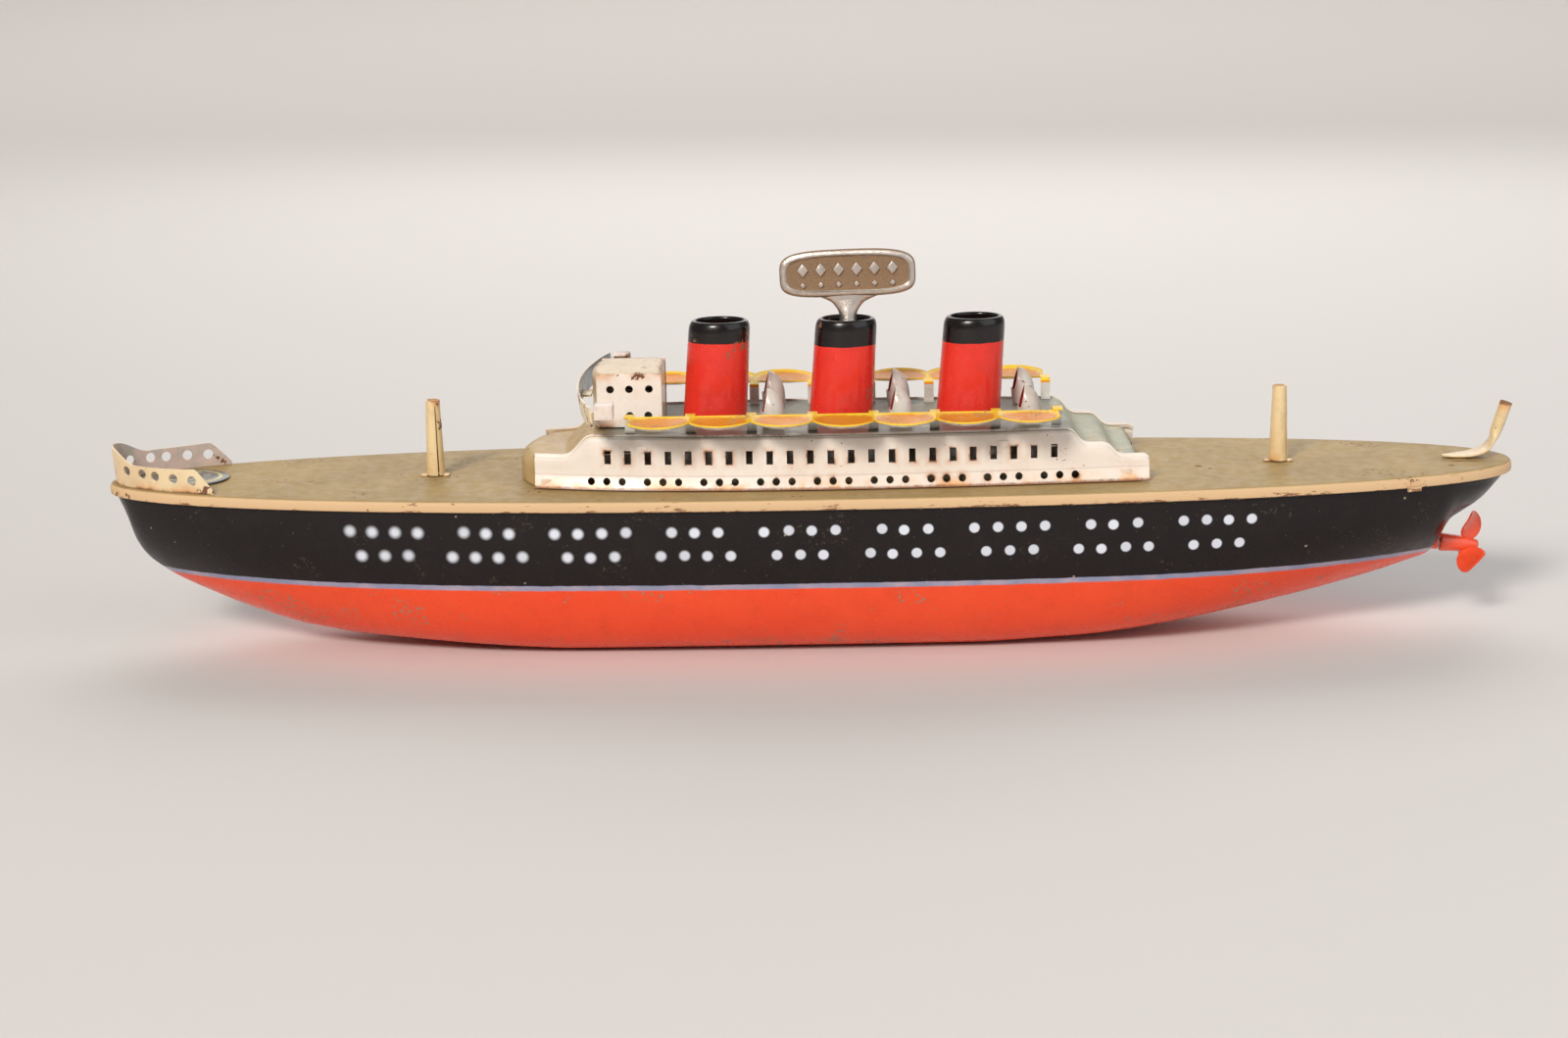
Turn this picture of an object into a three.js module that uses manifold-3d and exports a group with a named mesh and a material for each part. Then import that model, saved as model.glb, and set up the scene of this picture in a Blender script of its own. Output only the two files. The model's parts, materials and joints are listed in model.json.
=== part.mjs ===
// A tinplate clockwork ocean liner with three funnels. Millimetres, +Z up, bow towards -X, port towards -Y.
// The keel's flat stretch rests on z = 0, and the origin is under the middle of the boat.
import * as THREE from "three";
import { mergeVertices } from "three/addons/utils/BufferGeometryUtils.js";
import Module from "manifold-3d";

const wasm = await Module();
wasm.setup();

// ---------------------------------------------------------------- sizes

const TIN = 0.6; // sheet thickness
const GAP = 0.3; // air between two pieces that meet

const hull = {
  length: 309.6, // over the deck's bead
  beam: 58, // over the deck's bead
  deckTop: 37.2,
  beadDepth: 2.4,
  beadWidth: 0.9,
  flatShare: 0.3, // half width of the flat bottom, as a share of the half beam
  // The centreline underneath: share of the half length, and of the deck's height.
  keel: [
    [-0.994, 0.935], [-0.978, 0.79], [-0.965, 0.626], [-0.948, 0.535], [-0.913, 0.427], [-0.866, 0.328],
    [-0.82, 0.24], [-0.74, 0.132], [-0.656, 0.078], [-0.488, 0.032], [-0.36, 0], [0.245, 0],
    [0.394, 0.033], [0.478, 0.076], [0.562, 0.126], [0.646, 0.184], [0.73, 0.248], [0.814, 0.328],
    [0.883, 0.418], [0.893, 0.46], [0.9, 0.53], [0.911, 0.62], [0.93, 0.67], [0.956, 0.737], [0.994, 0.925],
  ],
};
const deckTop = hull.deckTop;

const house = {
  front: -59.5,
  halfWidth: 20, // outside of the upper storey
  flare: 1.3, // how far the lower storey leans out
  creaseHeight: 3.2, // above the deck
  boatDeckHeight: 11.8, // top of the roof plate above the deck
  bow: 4.4, // how far the front wall bows forward
  // The side's stepped outline, aft of the front: x from the front, height above the deck.
  sideOutline: [
    [0, 0], [0.4, 6.9], [7.4, 6.9], [11.6, 11.5], [115.7, 11.5], [118.3, 8.1], [123.7, 8.1], [125.9, 5.3],
    [131.5, 5.3], [132.5, 4.6], [132.5, 0],
  ],
  narrowing: { widest: 5, front: 6.2, frontPower: 2.6, back: 3.7, backPower: 1.7 },
};
const windows = { count: 23, first: -43.5, pitch: 4.36, width: 1.35, height: 2.95, sill: 5.7 };
const portholes = { groups: 9, first: -43.8, groupPitch: 12.17, pitch: 3.37, diameter: 1.55, height: 2.0 };

const boats = {
  count: 7, first: -38.6, pitch: 13.1, height: 16.3, inner: 18.45, cusp: 25.2, bulge: 30.9, dish: 1.7,
  legWidth: 2.1, legInset: 3.4,
};
const bridge = {
  front: -45.8, back: -32, halfWidth: 9.5, height: 12.2, bow: 1.6, corner: 1.2,
  holes: [[-43, 8.7], [-38.9, 8.7], [-34.6, 8.7], [-43.4, 2.9], [-38.9, 2.9], [-34.9, 2.9]],
  holeDiameter: 1.66,
};
const cab = { front: -45, length: 4, width: 4, low: 18.1, high: 21.3 };
const wing = { halfSpan: 31, front: -50.1, low: 16.7, high: 21 };
const funnel = {
  centres: [-20.8, 6.9, 34.9], names: ["fore", "middle", "aft"], height: 22, rake: 1.55,
  baseLength: 14, baseWidth: 11.2, topShare: 0.96,
};
const ventilator = { centres: [-8, 19.75, 47.6], side: 9.9, height: 9.1, diameter: 4.6, bulge: 5.2 };
const mast = { fore: -82.8, aft: 103.4, height: 17, base: 4.2, top: 3.2, seam: 24 };
// The staff's places are measured forward from the deck's after end, and up from the deck.
const flagstaff = { diameter: 2.7, foot: [4.6, 3.6], tip: [1.2, 12.6], tabEnd: 15.3 };
const rail = {
  setIn: 1.3, length: 25.8, slant: 4, sideHeight: 5.1, tipHeight: 8.2, holes: 5, pitch: 4.5, hole: 2.15,
};
const badge = { fromBow: 15.8, length: 20.8, width: 16.6, thickness: 0.4 };

// The propeller's middle stands behind the sternpost, at this height. The shaft rises to the crown wheel's top.
const shaftLine = { behindPost: 7.84, height: 17.4, crownHeight: 29.192, diameter: 2 };
const propeller = {
  radius: 7.6, hub: 4.2, hubFore: 6.4, hubAft: 2.2, blades: 3, thickness: 0.7, chord: 7, pitchAngle: 46, sleeve: 4,
};
const sternTube = { length: 17.2, wall: 0.5 };

const motor = {
  axis: 8.8, module: 0.6, wheelTeeth: 48, pinionTeeth: 12, crownTeeth: 24, shaftTeeth: 8,
  arborDiameter: 4, squareSide: 2, pivotDiameter: 2, wheelBottom: 22.5, wheelThickness: 1.2,
  plateBottom: 9, plateTop: 32.4, plateThickness: 1, plateHalfWidth: 16, plateStart: -12, plateEnd: 36,
  pillarDiameter: 3, pillarInset: 2.6,
};
const hangers = { length: 10, foot: 3, inset: 5 };
const key = {
  width: 29.6, height: 10.4, thickness: 2.2, rim: 1, recess: 0.5, centre: 43.6, lean: 1.2,
  stemDiameter: 4.6, stemBottom: 15, neckWidth: 6.9, squareTop: 29,
};
const bearing = { start: 38, width: 9, thickness: 0.8, low: 24.5 };
const spring = { turns: 6, perTurn: 14, pitch: 1.85, clearance: 1.5 };

// ---------------------------------------------------------------- solids

// A geometry's triangles as a manifold solid.
function solidOf(geometry) {
  const bare = new THREE.BufferGeometry();
  const source = geometry.index ? geometry.toNonIndexed() : geometry;
  bare.setAttribute("position", source.getAttribute("position"));
  const merged = mergeVertices(bare, 1e-3);
  return new wasm.Manifold(
    new wasm.Mesh({
      numProp: 3,
      vertProperties: new Float32Array(merged.attributes.position.array),
      triVerts: new Uint32Array(merged.index.array),
    }),
  );
}

// A manifold solid as a geometry with flat faces.
function geometryOf(solid) {
  const mesh = solid.getMesh();
  const indexed = new THREE.BufferGeometry();
  indexed.setAttribute("position", new THREE.BufferAttribute(mesh.vertProperties, mesh.numProp));
  indexed.setIndex(new THREE.BufferAttribute(mesh.triVerts, 1));
  const flat = indexed.toNonIndexed();
  flat.computeVertexNormals();
  return flat;
}

// The biggest body of a solid, when a cut leaves crumbs.
function biggest(solid) {
  return solid.decompose().reduce((best, body) => (body.volume() > best.volume() ? body : best));
}

function unite(parts) {
  return parts.map((part) => (part.isBufferGeometry ? solidOf(part) : part)).reduce((all, part) => all.add(part));
}

function cut(part, tools) {
  const start = part.isBufferGeometry ? solidOf(part) : part;
  return tools.reduce((left, tool) => left.subtract(solidOf(tool)), start);
}

// A closed body from faces of points, turned so that it faces outwards.
function closedBody(quads) {
  const triangles = [];
  for (const [a, b, c, d] of quads) {
    triangles.push([a, b, c]);
    if (d) triangles.push([a, c, d]);
  }
  let volume = 0;
  for (const [a, b, c] of triangles) volume += a.clone().cross(b).dot(c);
  const points = triangles.flatMap(([a, b, c]) => (volume < 0 ? [a, c, b] : [a, b, c]));
  return new THREE.BufferGeometry().setFromPoints(points);
}

// A sheet between two grids of points that have the same rows and columns.
function thickSheet(outside, inside) {
  const quads = [];
  const rows = outside.length;
  const columns = outside[0].length;
  for (let i = 0; i + 1 < rows; i += 1) {
    for (let j = 0; j + 1 < columns; j += 1) {
      quads.push([outside[i][j], outside[i + 1][j], outside[i + 1][j + 1], outside[i][j + 1]]);
      quads.push([inside[i][j], inside[i][j + 1], inside[i + 1][j + 1], inside[i + 1][j]]);
    }
    quads.push([outside[i][0], inside[i][0], inside[i + 1][0], outside[i + 1][0]]);
    const last = columns - 1;
    quads.push([outside[i][last], outside[i + 1][last], inside[i + 1][last], inside[i][last]]);
  }
  for (let j = 0; j + 1 < columns; j += 1) {
    quads.push([outside[0][j], outside[0][j + 1], inside[0][j + 1], inside[0][j]]);
    const last = rows - 1;
    quads.push([outside[last][j], inside[last][j], inside[last][j + 1], outside[last][j + 1]]);
  }
  return closedBody(quads);
}

function shapeOf(points, holes = []) {
  const shape = new THREE.Shape(points.map(([x, y]) => new THREE.Vector2(x, y)));
  for (const hole of holes) shape.holes.push(new THREE.Path(hole.map(([x, y]) => new THREE.Vector2(x, y))));
  return shape;
}

// A flat outline in x and y, from low to high.
function slab(points, low, high, holes = []) {
  const geometry = new THREE.ExtrudeGeometry(shapeOf(points, holes), { depth: high - low, bevelEnabled: false });
  return geometry.translate(0, 0, low);
}

// An outline in x and z, extruded along y from near to far in some steps.
function sideSlab(points, near, far, holes = [], steps = 1) {
  const options = { depth: far - near, bevelEnabled: false, steps };
  const geometry = new THREE.ExtrudeGeometry(shapeOf(points, holes), options);
  return geometry.rotateX(Math.PI / 2).translate(0, far, 0);
}

function circle(x, y, diameter, sides = 6) {
  return Array.from({ length: sides }, (_, i) => {
    const angle = (2 * Math.PI * (i + 0.5)) / sides;
    return [x + (diameter / 2) * Math.cos(angle), y + (diameter / 2) * Math.sin(angle)];
  });
}

function rectangle(left, right, low, high) {
  return [[left, low], [right, low], [right, high], [left, high]];
}

// A round bar from one point to another.
function bar(from, to, diameter, sides = 16) {
  const start = new THREE.Vector3(...from);
  const along = new THREE.Vector3(...to).sub(start);
  const geometry = new THREE.CylinderGeometry(diameter / 2, diameter / 2, along.length(), sides);
  geometry.translate(0, along.length() / 2, 0);
  geometry.applyQuaternion(new THREE.Quaternion().setFromUnitVectors(new THREE.Vector3(0, 1, 0), along.normalize()));
  return geometry.translate(...from);
}

// A turned piece about the z axis from a profile of radius and height.
function turned(profile, sides = 24) {
  return new THREE.LatheGeometry(profile.map(([r, z]) => new THREE.Vector2(r, z)), sides).rotateX(Math.PI / 2);
}

// Moves every point of a geometry with a function of its x, y and z.
function reshape(geometry, move) {
  const at = geometry.getAttribute("position");
  for (let i = 0; i < at.count; i += 1) at.setXYZ(i, ...move(at.getX(i), at.getY(i), at.getZ(i)));
  return geometry;
}

// The same piece on the other side of the centreline.
function otherSide(part) {
  const geometry = part.isBufferGeometry ? part.clone() : geometryOf(part);
  const at = (geometry.index ? geometry.toNonIndexed() : geometry).getAttribute("position");
  const points = [];
  for (let i = 0; i < at.count; i += 3) {
    for (const k of [i, i + 2, i + 1]) points.push(new THREE.Vector3(at.getX(k), -at.getY(k), at.getZ(k)));
  }
  return new THREE.BufferGeometry().setFromPoints(points);
}

// A bent strip's outline: a line of points and the same line moved in by the sheet's thickness.
function bentStrip(line, thickness) {
  const inner = line.map(([x, z], i) => {
    const before = line[Math.max(i - 1, 0)];
    const after = line[Math.min(i + 1, line.length - 1)];
    const first = new THREE.Vector2(x - before[0], z - before[1]).normalize();
    const second = new THREE.Vector2(after[0] - x, after[1] - z).normalize();
    if (i === 0) first.copy(second);
    if (i === line.length - 1) second.copy(first);
    const normal = new THREE.Vector2(first.y + second.y, -first.x - second.x).normalize();
    const reach = thickness / Math.max(normal.dot(new THREE.Vector2(first.y, -first.x)), 0.3);
    return [x + normal.x * reach, z + normal.y * reach];
  });
  return [...line, ...inner.reverse()];
}

// ---------------------------------------------------------------- scene

const boat = new THREE.Group();

function paint(color, roughness, metalness = 0.1) {
  return new THREE.MeshStandardMaterial({ color, roughness, metalness });
}

const finishes = {
  hull: paint(0xee5230, 0.35),
  deck: paint(0xc3a878, 0.45),
  white: paint(0xf3e6d8, 0.45),
  grey: paint(0x8c8d80, 0.5),
  boats: paint(0xf2a63a, 0.4),
  funnel: paint(0xe2331f, 0.3),
  cowl: paint(0xd6cabd, 0.45),
  cream: paint(0xe6c598, 0.45),
  badge: paint(0x2b2a26, 0.4),
  propeller: paint(0xe6472a, 0.35),
  nickel: paint(0xa7a299, 0.35, 1),
  brass: paint(0xb08a46, 0.35, 1),
  steel: paint(0x8f9194, 0.35, 1),
  spring: paint(0x4c5a70, 0.3, 1),
};

function add(name, part, finish, place = [0, 0, 0], turn = [0, 0, 0]) {
  const mesh = new THREE.Mesh(part.isBufferGeometry ? part : geometryOf(part), finishes[finish]);
  mesh.name = name;
  mesh.position.set(...place);
  mesh.rotation.set(...turn);
  boat.add(mesh);
}

// ---------------------------------------------------------------- hull and deck

const halfLength = hull.length / 2;
const halfBeam = hull.beam / 2;
const bluntness = { bow: { tip: 2, shoulder: 2.2 }, stern: { tip: 2.15, shoulder: 2.6 } };

// Half the deck's width at x.
function deckHalfWidth(x) {
  const { tip, shoulder } = x < 0 ? bluntness.bow : bluntness.stern;
  const fromMiddle = THREE.MathUtils.clamp(Math.abs(x) / halfLength, 0, 1);
  return halfBeam * (1 - fromMiddle ** shoulder) ** (1 / tip);
}

// One side's deck edge from bow to stern, moved in by a distance square to itself.
function deckEdge(setIn, stations = 36) {
  const edge = [];
  for (let i = 0; i <= stations; i += 1) {
    const share = -Math.cos((Math.PI * i) / stations);
    const x = halfLength * Math.sign(share) * Math.abs(share) ** 0.8;
    const step = 0.02;
    const before = Math.max(x - step, -halfLength);
    const after = Math.min(x + step, halfLength);
    const along = new THREE.Vector2(after - before, deckHalfWidth(after) - deckHalfWidth(before)).normalize();
    if (i === 0) along.set(0, 1);
    if (i === stations) along.set(0, -1);
    edge.push([x + along.y * setIn, deckHalfWidth(x) - along.x * setIn]);
  }
  edge[0][1] = 0;
  edge[stations][1] = 0;
  return edge;
}

function deckOutline(setIn) {
  const edge = deckEdge(setIn);
  const port = edge.map(([x, y]) => [x, -y]);
  return [...port, ...edge.slice(1, -1).reverse()];
}

const keelCurve = new THREE.SplineCurve(
  hull.keel.map(([x, z]) => new THREE.Vector2(x * halfLength, z * hull.deckTop)),
).getPoints(400);

// Height of the keel's underside at x.
function keelHeight(x) {
  const after = keelCurve.findIndex((point) => point.x >= x);
  if (after === 0) return keelCurve[0].y;
  if (after < 0) return keelCurve[keelCurve.length - 1].y;
  const [a, b] = [keelCurve[after - 1], keelCurve[after]];
  return Math.max(0, a.y + ((b.y - a.y) * (x - a.x)) / (b.x - a.x));
}

// One hull section from the keel to the top edge, as points; setIn is 0 outside and the sheet's thickness inside.
function hullSection(x, halfWidth, top, setIn) {
  const fullness = THREE.MathUtils.smoothstep(halfLength - Math.abs(x), 4, 90);
  const flat = hull.flatShare * halfWidth * fullness;
  const sideways = THREE.MathUtils.lerp(1.5, 0.85, fullness);
  const upward = THREE.MathUtils.lerp(1, 0.85, fullness);
  const low = Math.min(keelHeight(x) + setIn, top - 1);
  const width = Math.max(halfWidth - setIn - GAP / 2, 0.4);
  const steps = 8;
  const points = [new THREE.Vector3(x, GAP / 2, low)];
  for (let j = 0; j <= steps; j += 1) {
    const angle = (Math.PI / 2) * (j / steps);
    const y = GAP / 2 + Math.min(flat, width * 0.9) + (width - Math.min(flat, width * 0.9)) * Math.sin(angle) ** sideways;
    const z = low + (top - low) * (1 - Math.max(Math.cos(angle), 0) ** upward);
    points.push(new THREE.Vector3(x, y, z));
  }
  return points;
}

const underDeck = deckTop - TIN - GAP; // top edge of the hull, just under the deck plate
const hullEdge = deckEdge(hull.beadWidth + GAP).slice(1, -1);
const starboardShell = thickSheet(
  hullEdge.map(([x, y]) => hullSection(x, y, underDeck, 0)),
  hullEdge.map(([x, y]) => hullSection(x, y, underDeck, TIN)),
);

// Where the centreline under the stern reaches a height.
function sternPost(height) {
  const share = height / hull.deckTop;
  const line = hull.keel;
  const above = line.findIndex(([x, z]) => x > 0 && z > share);
  const [[x0, z0], [x1, z1]] = [line[above - 1], line[above]];
  return halfLength * (x0 + ((x1 - x0) * (share - z0)) / (z1 - z0));
}
const propellerPlace = sternPost(shaftLine.height) + shaftLine.behindPost;
const shaftBore = shaftLine.diameter + 2 * GAP;
const tubeOuter = shaftBore + 2 * sternTube.wall;
const tubeEnd = propellerPlace - propeller.hubFore - 2 * GAP;
const tubeStart = tubeEnd - sternTube.length;

// The gears' places, and the propeller shaft's line as a point at x.
const pitchRadius = (teeth) => (teeth * motor.module) / 2;
const pinionAxis = motor.axis + pitchRadius(motor.wheelTeeth) + pitchRadius(motor.pinionTeeth);
const crownContact = pinionAxis + pitchRadius(motor.crownTeeth);
const slope = Math.atan2(shaftLine.crownHeight - shaftLine.height, propellerPlace - crownContact);
function onShaft(x) {
  return [x, 0, shaftLine.height - (x - propellerPlace) * Math.tan(slope)];
}
const tubeHole = bar(onShaft(tubeStart - 4), onShaft(tubeEnd + 4), tubeOuter + 2 * GAP);
const starboardHull = biggest(cut(starboardShell, [tubeHole]));
add("starboard_hull_half", starboardHull, "hull");
add("port_hull_half", otherSide(starboardHull), "hull");

const arborHole = motor.arborDiameter + 1;
const deckBlock = slab(deckOutline(0), deckTop - hull.beadDepth, deckTop);
const underside = slab(deckOutline(hull.beadWidth), deckTop - hull.beadDepth - 1, deckTop - TIN);
const deckHole = slab(circle(motor.axis, 0, arborHole, 20), 0, deckTop + 1);
add("deck", cut(deckBlock, [underside, deckHole]), "deck");

// ---------------------------------------------------------------- deckhouse

const deckSeat = deckTop + GAP; // where a piece on the deck begins
const crease = deckTop + house.creaseHeight;
const sideOutline = house.sideOutline.map(([x, z]) => [house.front + x, Math.max(deckTop + z, deckSeat)]);
const houseBack = sideOutline[sideOutline.length - 1][0];

// How far the house's side lies in from its widest place. It is bowed like the deck's edge.
function houseNarrowing(x) {
  const { widest, front, frontPower, back, backPower } = house.narrowing;
  if (x < widest) return front * ((widest - x) / (widest - house.front)) ** frontPower;
  return back * ((x - widest) / (houseBack - widest)) ** backPower;
}

// The same line with points added, so that no step along x is longer than 11 mm.
function dense(line) {
  return line.flatMap(([x, z], i) => {
    if (i === line.length - 1) return [[x, z]];
    const [nextX, nextZ] = line[i + 1];
    const steps = Math.max(Math.ceil(Math.abs(nextX - x) / 11), 1);
    return Array.from({ length: steps }, (_, k) => [x + ((nextX - x) * k) / steps, z + ((nextZ - z) * k) / steps]);
  });
}

function windowHoles() {
  const sill = deckTop + windows.sill;
  return Array.from({ length: windows.count }, (_, i) => {
    const middle = windows.first + i * windows.pitch;
    const half = windows.width / 2;
    return rectangle(middle - half, middle + half, sill, sill + windows.height);
  });
}

function portholeHoles() {
  const holes = [];
  for (let group = 0; group < portholes.groups; group += 1) {
    for (const place of [-1, 0, 1]) {
      const x = portholes.first + group * portholes.groupPitch + place * portholes.pitch;
      holes.push(circle(x, deckTop + portholes.height, portholes.diameter));
    }
  }
  return holes;
}

function houseWall() {
  const topLine = dense([[house.front, sideOutline[1][1]], ...sideOutline.slice(2, -1)]);
  const face = (setIn) => topLine.map(([x, top]) => {
    const y = house.halfWidth - houseNarrowing(x) - setIn;
    return [[y + house.flare, deckSeat], [y, crease], [y, top]].map((at) => new THREE.Vector3(x, ...at));
  });
  const reach = TIN + Math.max(house.narrowing.front, house.narrowing.back);
  const openings = [...windowHoles(), ...portholeHoles()].map((hole) => {
    return sideSlab(hole, house.halfWidth - reach, house.halfWidth + house.flare + 1);
  });
  return cut(thickSheet(face(0), face(TIN)), openings);
}

const starboardWall = houseWall();
add("starboard_house_wall", starboardWall, "white");
add("port_house_wall", otherSide(starboardWall), "white");

// The roof plate follows the walls' steps and closes the front and the back.
const boatDeck = deckTop + house.boatDeckHeight;
const roofLine = [
  [house.front + 0.2, deckSeat],
  [house.front + 0.2, sideOutline[1][1] - 0.2],
  ...sideOutline.slice(2, 4).map(([x, z]) => [x, z === sideOutline[2][1] ? z : boatDeck]),
  [sideOutline[4][0] + 0.2, boatDeck],
  ...sideOutline.slice(5, 9),
  [houseBack - 1.4, deckSeat],
];
const roofHalfWidth = house.halfWidth - TIN - GAP;
const roofStrip = bentStrip(dense(roofLine), TIN);
const roofPlate = reshape(sideSlab(roofStrip, -roofHalfWidth, roofHalfWidth, [], 6), (x, y, z) => {
  const forward = THREE.MathUtils.clamp((sideOutline[3][0] - x) / (sideOutline[3][0] - house.front), 0, 1);
  const width = 1 - houseNarrowing(x) / roofHalfWidth;
  return [x - house.bow * forward * (1 - (y / roofHalfWidth) ** 2), y * width, z];
});
const roofHole = slab(circle(motor.axis, 0, arborHole, 20), deckTop, boatDeck + 1);
add("house_roof", cut(roofPlate, [roofHole]), "grey");

// ---------------------------------------------------------------- lifeboats

const roofSeat = boatDeck + GAP;
const boatTop = deckTop + boats.height;

// The strip's outer edge at a share of one boat's length.
function boatEdge(share) {
  return boats.cusp + (boats.bulge - boats.cusp) * Math.sin(Math.PI * share) ** 0.7;
}

function lifeboatStrip() {
  const perBoat = 6;
  const across = 4;
  const top = [];
  const under = [];
  for (let i = 0; i <= boats.count * perBoat; i += 1) {
    const share = (i % perBoat) / perBoat;
    const outer = boatEdge(share);
    const x = boats.first + (i / perBoat) * boats.pitch;
    const row = Array.from({ length: across + 1 }, (_, j) => {
      const side = j / across;
      const depth = boats.dish * Math.sin(Math.PI * share) ** 0.8 * Math.sin(Math.PI * side) ** 0.8;
      return new THREE.Vector3(x, boats.inner + (outer - boats.inner) * side, boatTop - depth);
    });
    top.push(row);
    under.push(row.map((point) => point.clone().setZ(point.z - TIN)));
  }
  const legs = Array.from({ length: boats.count + 1 }, (_, i) => {
    const inset = boats.inner - boats.legInset;
    const line = [[boats.inner + 0.2, boatTop], [inset, boatTop], [inset, roofSeat]];
    const leg = sideSlab(bentStrip(line, -TIN), -boats.legWidth / 2, boats.legWidth / 2);
    return leg.rotateZ(Math.PI / 2).translate(boats.first + i * boats.pitch, 0, 0);
  });
  return unite([thickSheet(top, under), ...legs]);
}

const starboardBoats = lifeboatStrip();
add("starboard_lifeboats", starboardBoats, "boats");
add("port_lifeboats", otherSide(starboardBoats), "boats");

// ---------------------------------------------------------------- bridge

const bridgeTop = deckTop + house.boatDeckHeight + bridge.height;

function bridgeLine() {
  const line = [[bridge.front, roofSeat]];
  for (let i = 0; i <= 3; i += 1) {
    const angle = (Math.PI / 2) * (i / 3);
    const r = bridge.corner;
    line.push([bridge.front + r * (1 - Math.cos(angle)), bridgeTop - r * (1 - Math.sin(angle))]);
  }
  for (let i = 0; i <= 2; i += 1) {
    const angle = (Math.PI / 2) * (i / 2);
    const r = bridge.corner / 2;
    line.push([bridge.back - r * (1 - Math.sin(angle)), bridgeTop - r * (1 - Math.cos(angle))]);
  }
  return [...line, [bridge.back, roofSeat]];
}

const coverHalfWidth = bridge.halfWidth - TIN - GAP;
const bridgeCover = reshape(
  sideSlab(bentStrip(bridgeLine(), TIN), -coverHalfWidth, coverHalfWidth, [], 6),
  (x, y, z) => {
    const forward = THREE.MathUtils.clamp((bridge.back - x) / (bridge.back - bridge.front), 0, 1) ** 2;
    return [x - bridge.bow * forward * (1 - (y / coverHalfWidth) ** 2), y, z];
  },
);
add("bridge_cover", bridgeCover, "deck");

function bridgeSide() {
  const holes = bridge.holes.map(([x, z]) => circle(x, boatDeck + z, bridge.holeDiameter, 12));
  const outline = rectangle(bridge.front, bridge.back, roofSeat, bridgeTop);
  return sideSlab(outline, bridge.halfWidth - TIN, bridge.halfWidth, holes);
}
add("starboard_bridge_side", bridgeSide(), "white");
add("port_bridge_side", otherSide(bridgeSide()), "white");

// The wing screen is one strip on an arc through both ends and the middle.
function wingScreen() {
  const rise = cab.front - 2 * GAP - wing.front;
  const radius = (wing.halfSpan ** 2 + rise ** 2) / (2 * rise);
  const reach = Math.asin(wing.halfSpan / radius);
  const column = (angle, r) => {
    const x = wing.front + radius - r * Math.cos(angle);
    const y = r * Math.sin(angle);
    return [deckTop + wing.low, deckTop + wing.high].map((z) => new THREE.Vector3(x, y, z));
  };
  const angles = Array.from({ length: 25 }, (_, i) => reach * (i / 12 - 1));
  const screen = thickSheet(
    angles.map((angle) => column(angle, radius)),
    angles.map((angle) => column(angle, radius - TIN)),
  );
  const tab = rectangle(wing.front + TIN / 2, bridge.front - bridge.bow - GAP, -3, 3);
  return unite([screen, slab(tab, deckTop + wing.low + 1, deckTop + wing.low + 1 + TIN)]);
}
add("bridge_wing_screen", wingScreen(), "cream");

function wingCab() {
  const left = cab.front;
  const box = slab(rectangle(left, left + cab.length, wing.halfSpan - cab.width, wing.halfSpan),
    deckTop + cab.low, deckTop + cab.high);
  const room = slab(
    rectangle(left + TIN, left + cab.length - TIN, wing.halfSpan - cab.width - 1, wing.halfSpan - TIN),
    deckTop + cab.low - 1, deckTop + cab.high - TIN,
  );
  return cut(box, [room]);
}
add("starboard_wing_cab", wingCab(), "white");
add("port_wing_cab", otherSide(wingCab()), "white");

// ---------------------------------------------------------------- funnels and ventilators

function funnelShell() {
  const top = funnel.height - GAP;
  const lip = 0.9;
  const wall = (TIN * 2) / funnel.baseWidth;
  const t = funnel.topShare;
  const profile = [
    [1, 0], [t + (1 - t) * 0.5, top * 0.5], [t, top - lip], [t - wall / 2, top], [t - wall * 1.8, top],
    [t - wall * 2.2, top - lip], [t - wall, top - lip * 1.6], [t + (1 - t) * 0.5 - wall, top * 0.5], [1 - wall, 0],
    [1, 0],
  ];
  return reshape(turned(profile, 24), (x, y, z) => [
    (x * funnel.baseLength) / 2 + (funnel.rake * z) / top, (y * funnel.baseWidth) / 2, z,
  ]);
}
funnel.centres.forEach((x, i) => add(`funnel_${funnel.names[i]}`, funnelShell(), "funnel", [x, 0, roofSeat]));

// An egg-shaped cowl, hollow, cut open by a slanting plane on its forward side.
function cowl() {
  const top = ventilator.height - GAP;
  const egg = (setIn, low) => {
    const r = ventilator.bulge / 2 - setIn;
    const base = ventilator.diameter / 2 - setIn;
    const middle = top * 0.45;
    const profile = [[0, low], [base, low], [base * 1.04, middle * 0.5], [r, middle]];
    for (let i = 1; i <= 4; i += 1) {
      const angle = (Math.PI / 2) * (i / 4);
      profile.push([i === 4 ? 0 : r * Math.cos(angle), middle + (top - setIn - middle) * Math.sin(angle)]);
    }
    return turned(profile, 12);
  };
  const mouth = new THREE.BoxGeometry(6, 8, 12).translate(-3, 0, 6).rotateY(0.32).translate(-1.5, 0, top * 0.36);
  return biggest(cut(egg(0, 0), [egg(0.5, -1), mouth]));
}
for (const [side, name] of [[1, "starboard"], [-1, "port"]]) {
  ventilator.centres.forEach((x, i) => {
    add(`${name}_ventilator_${funnel.names[i]}`, cowl(), "cowl", [x, side * ventilator.side, roofSeat]);
  });
}

// ---------------------------------------------------------------- masts, rail and badge

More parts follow.
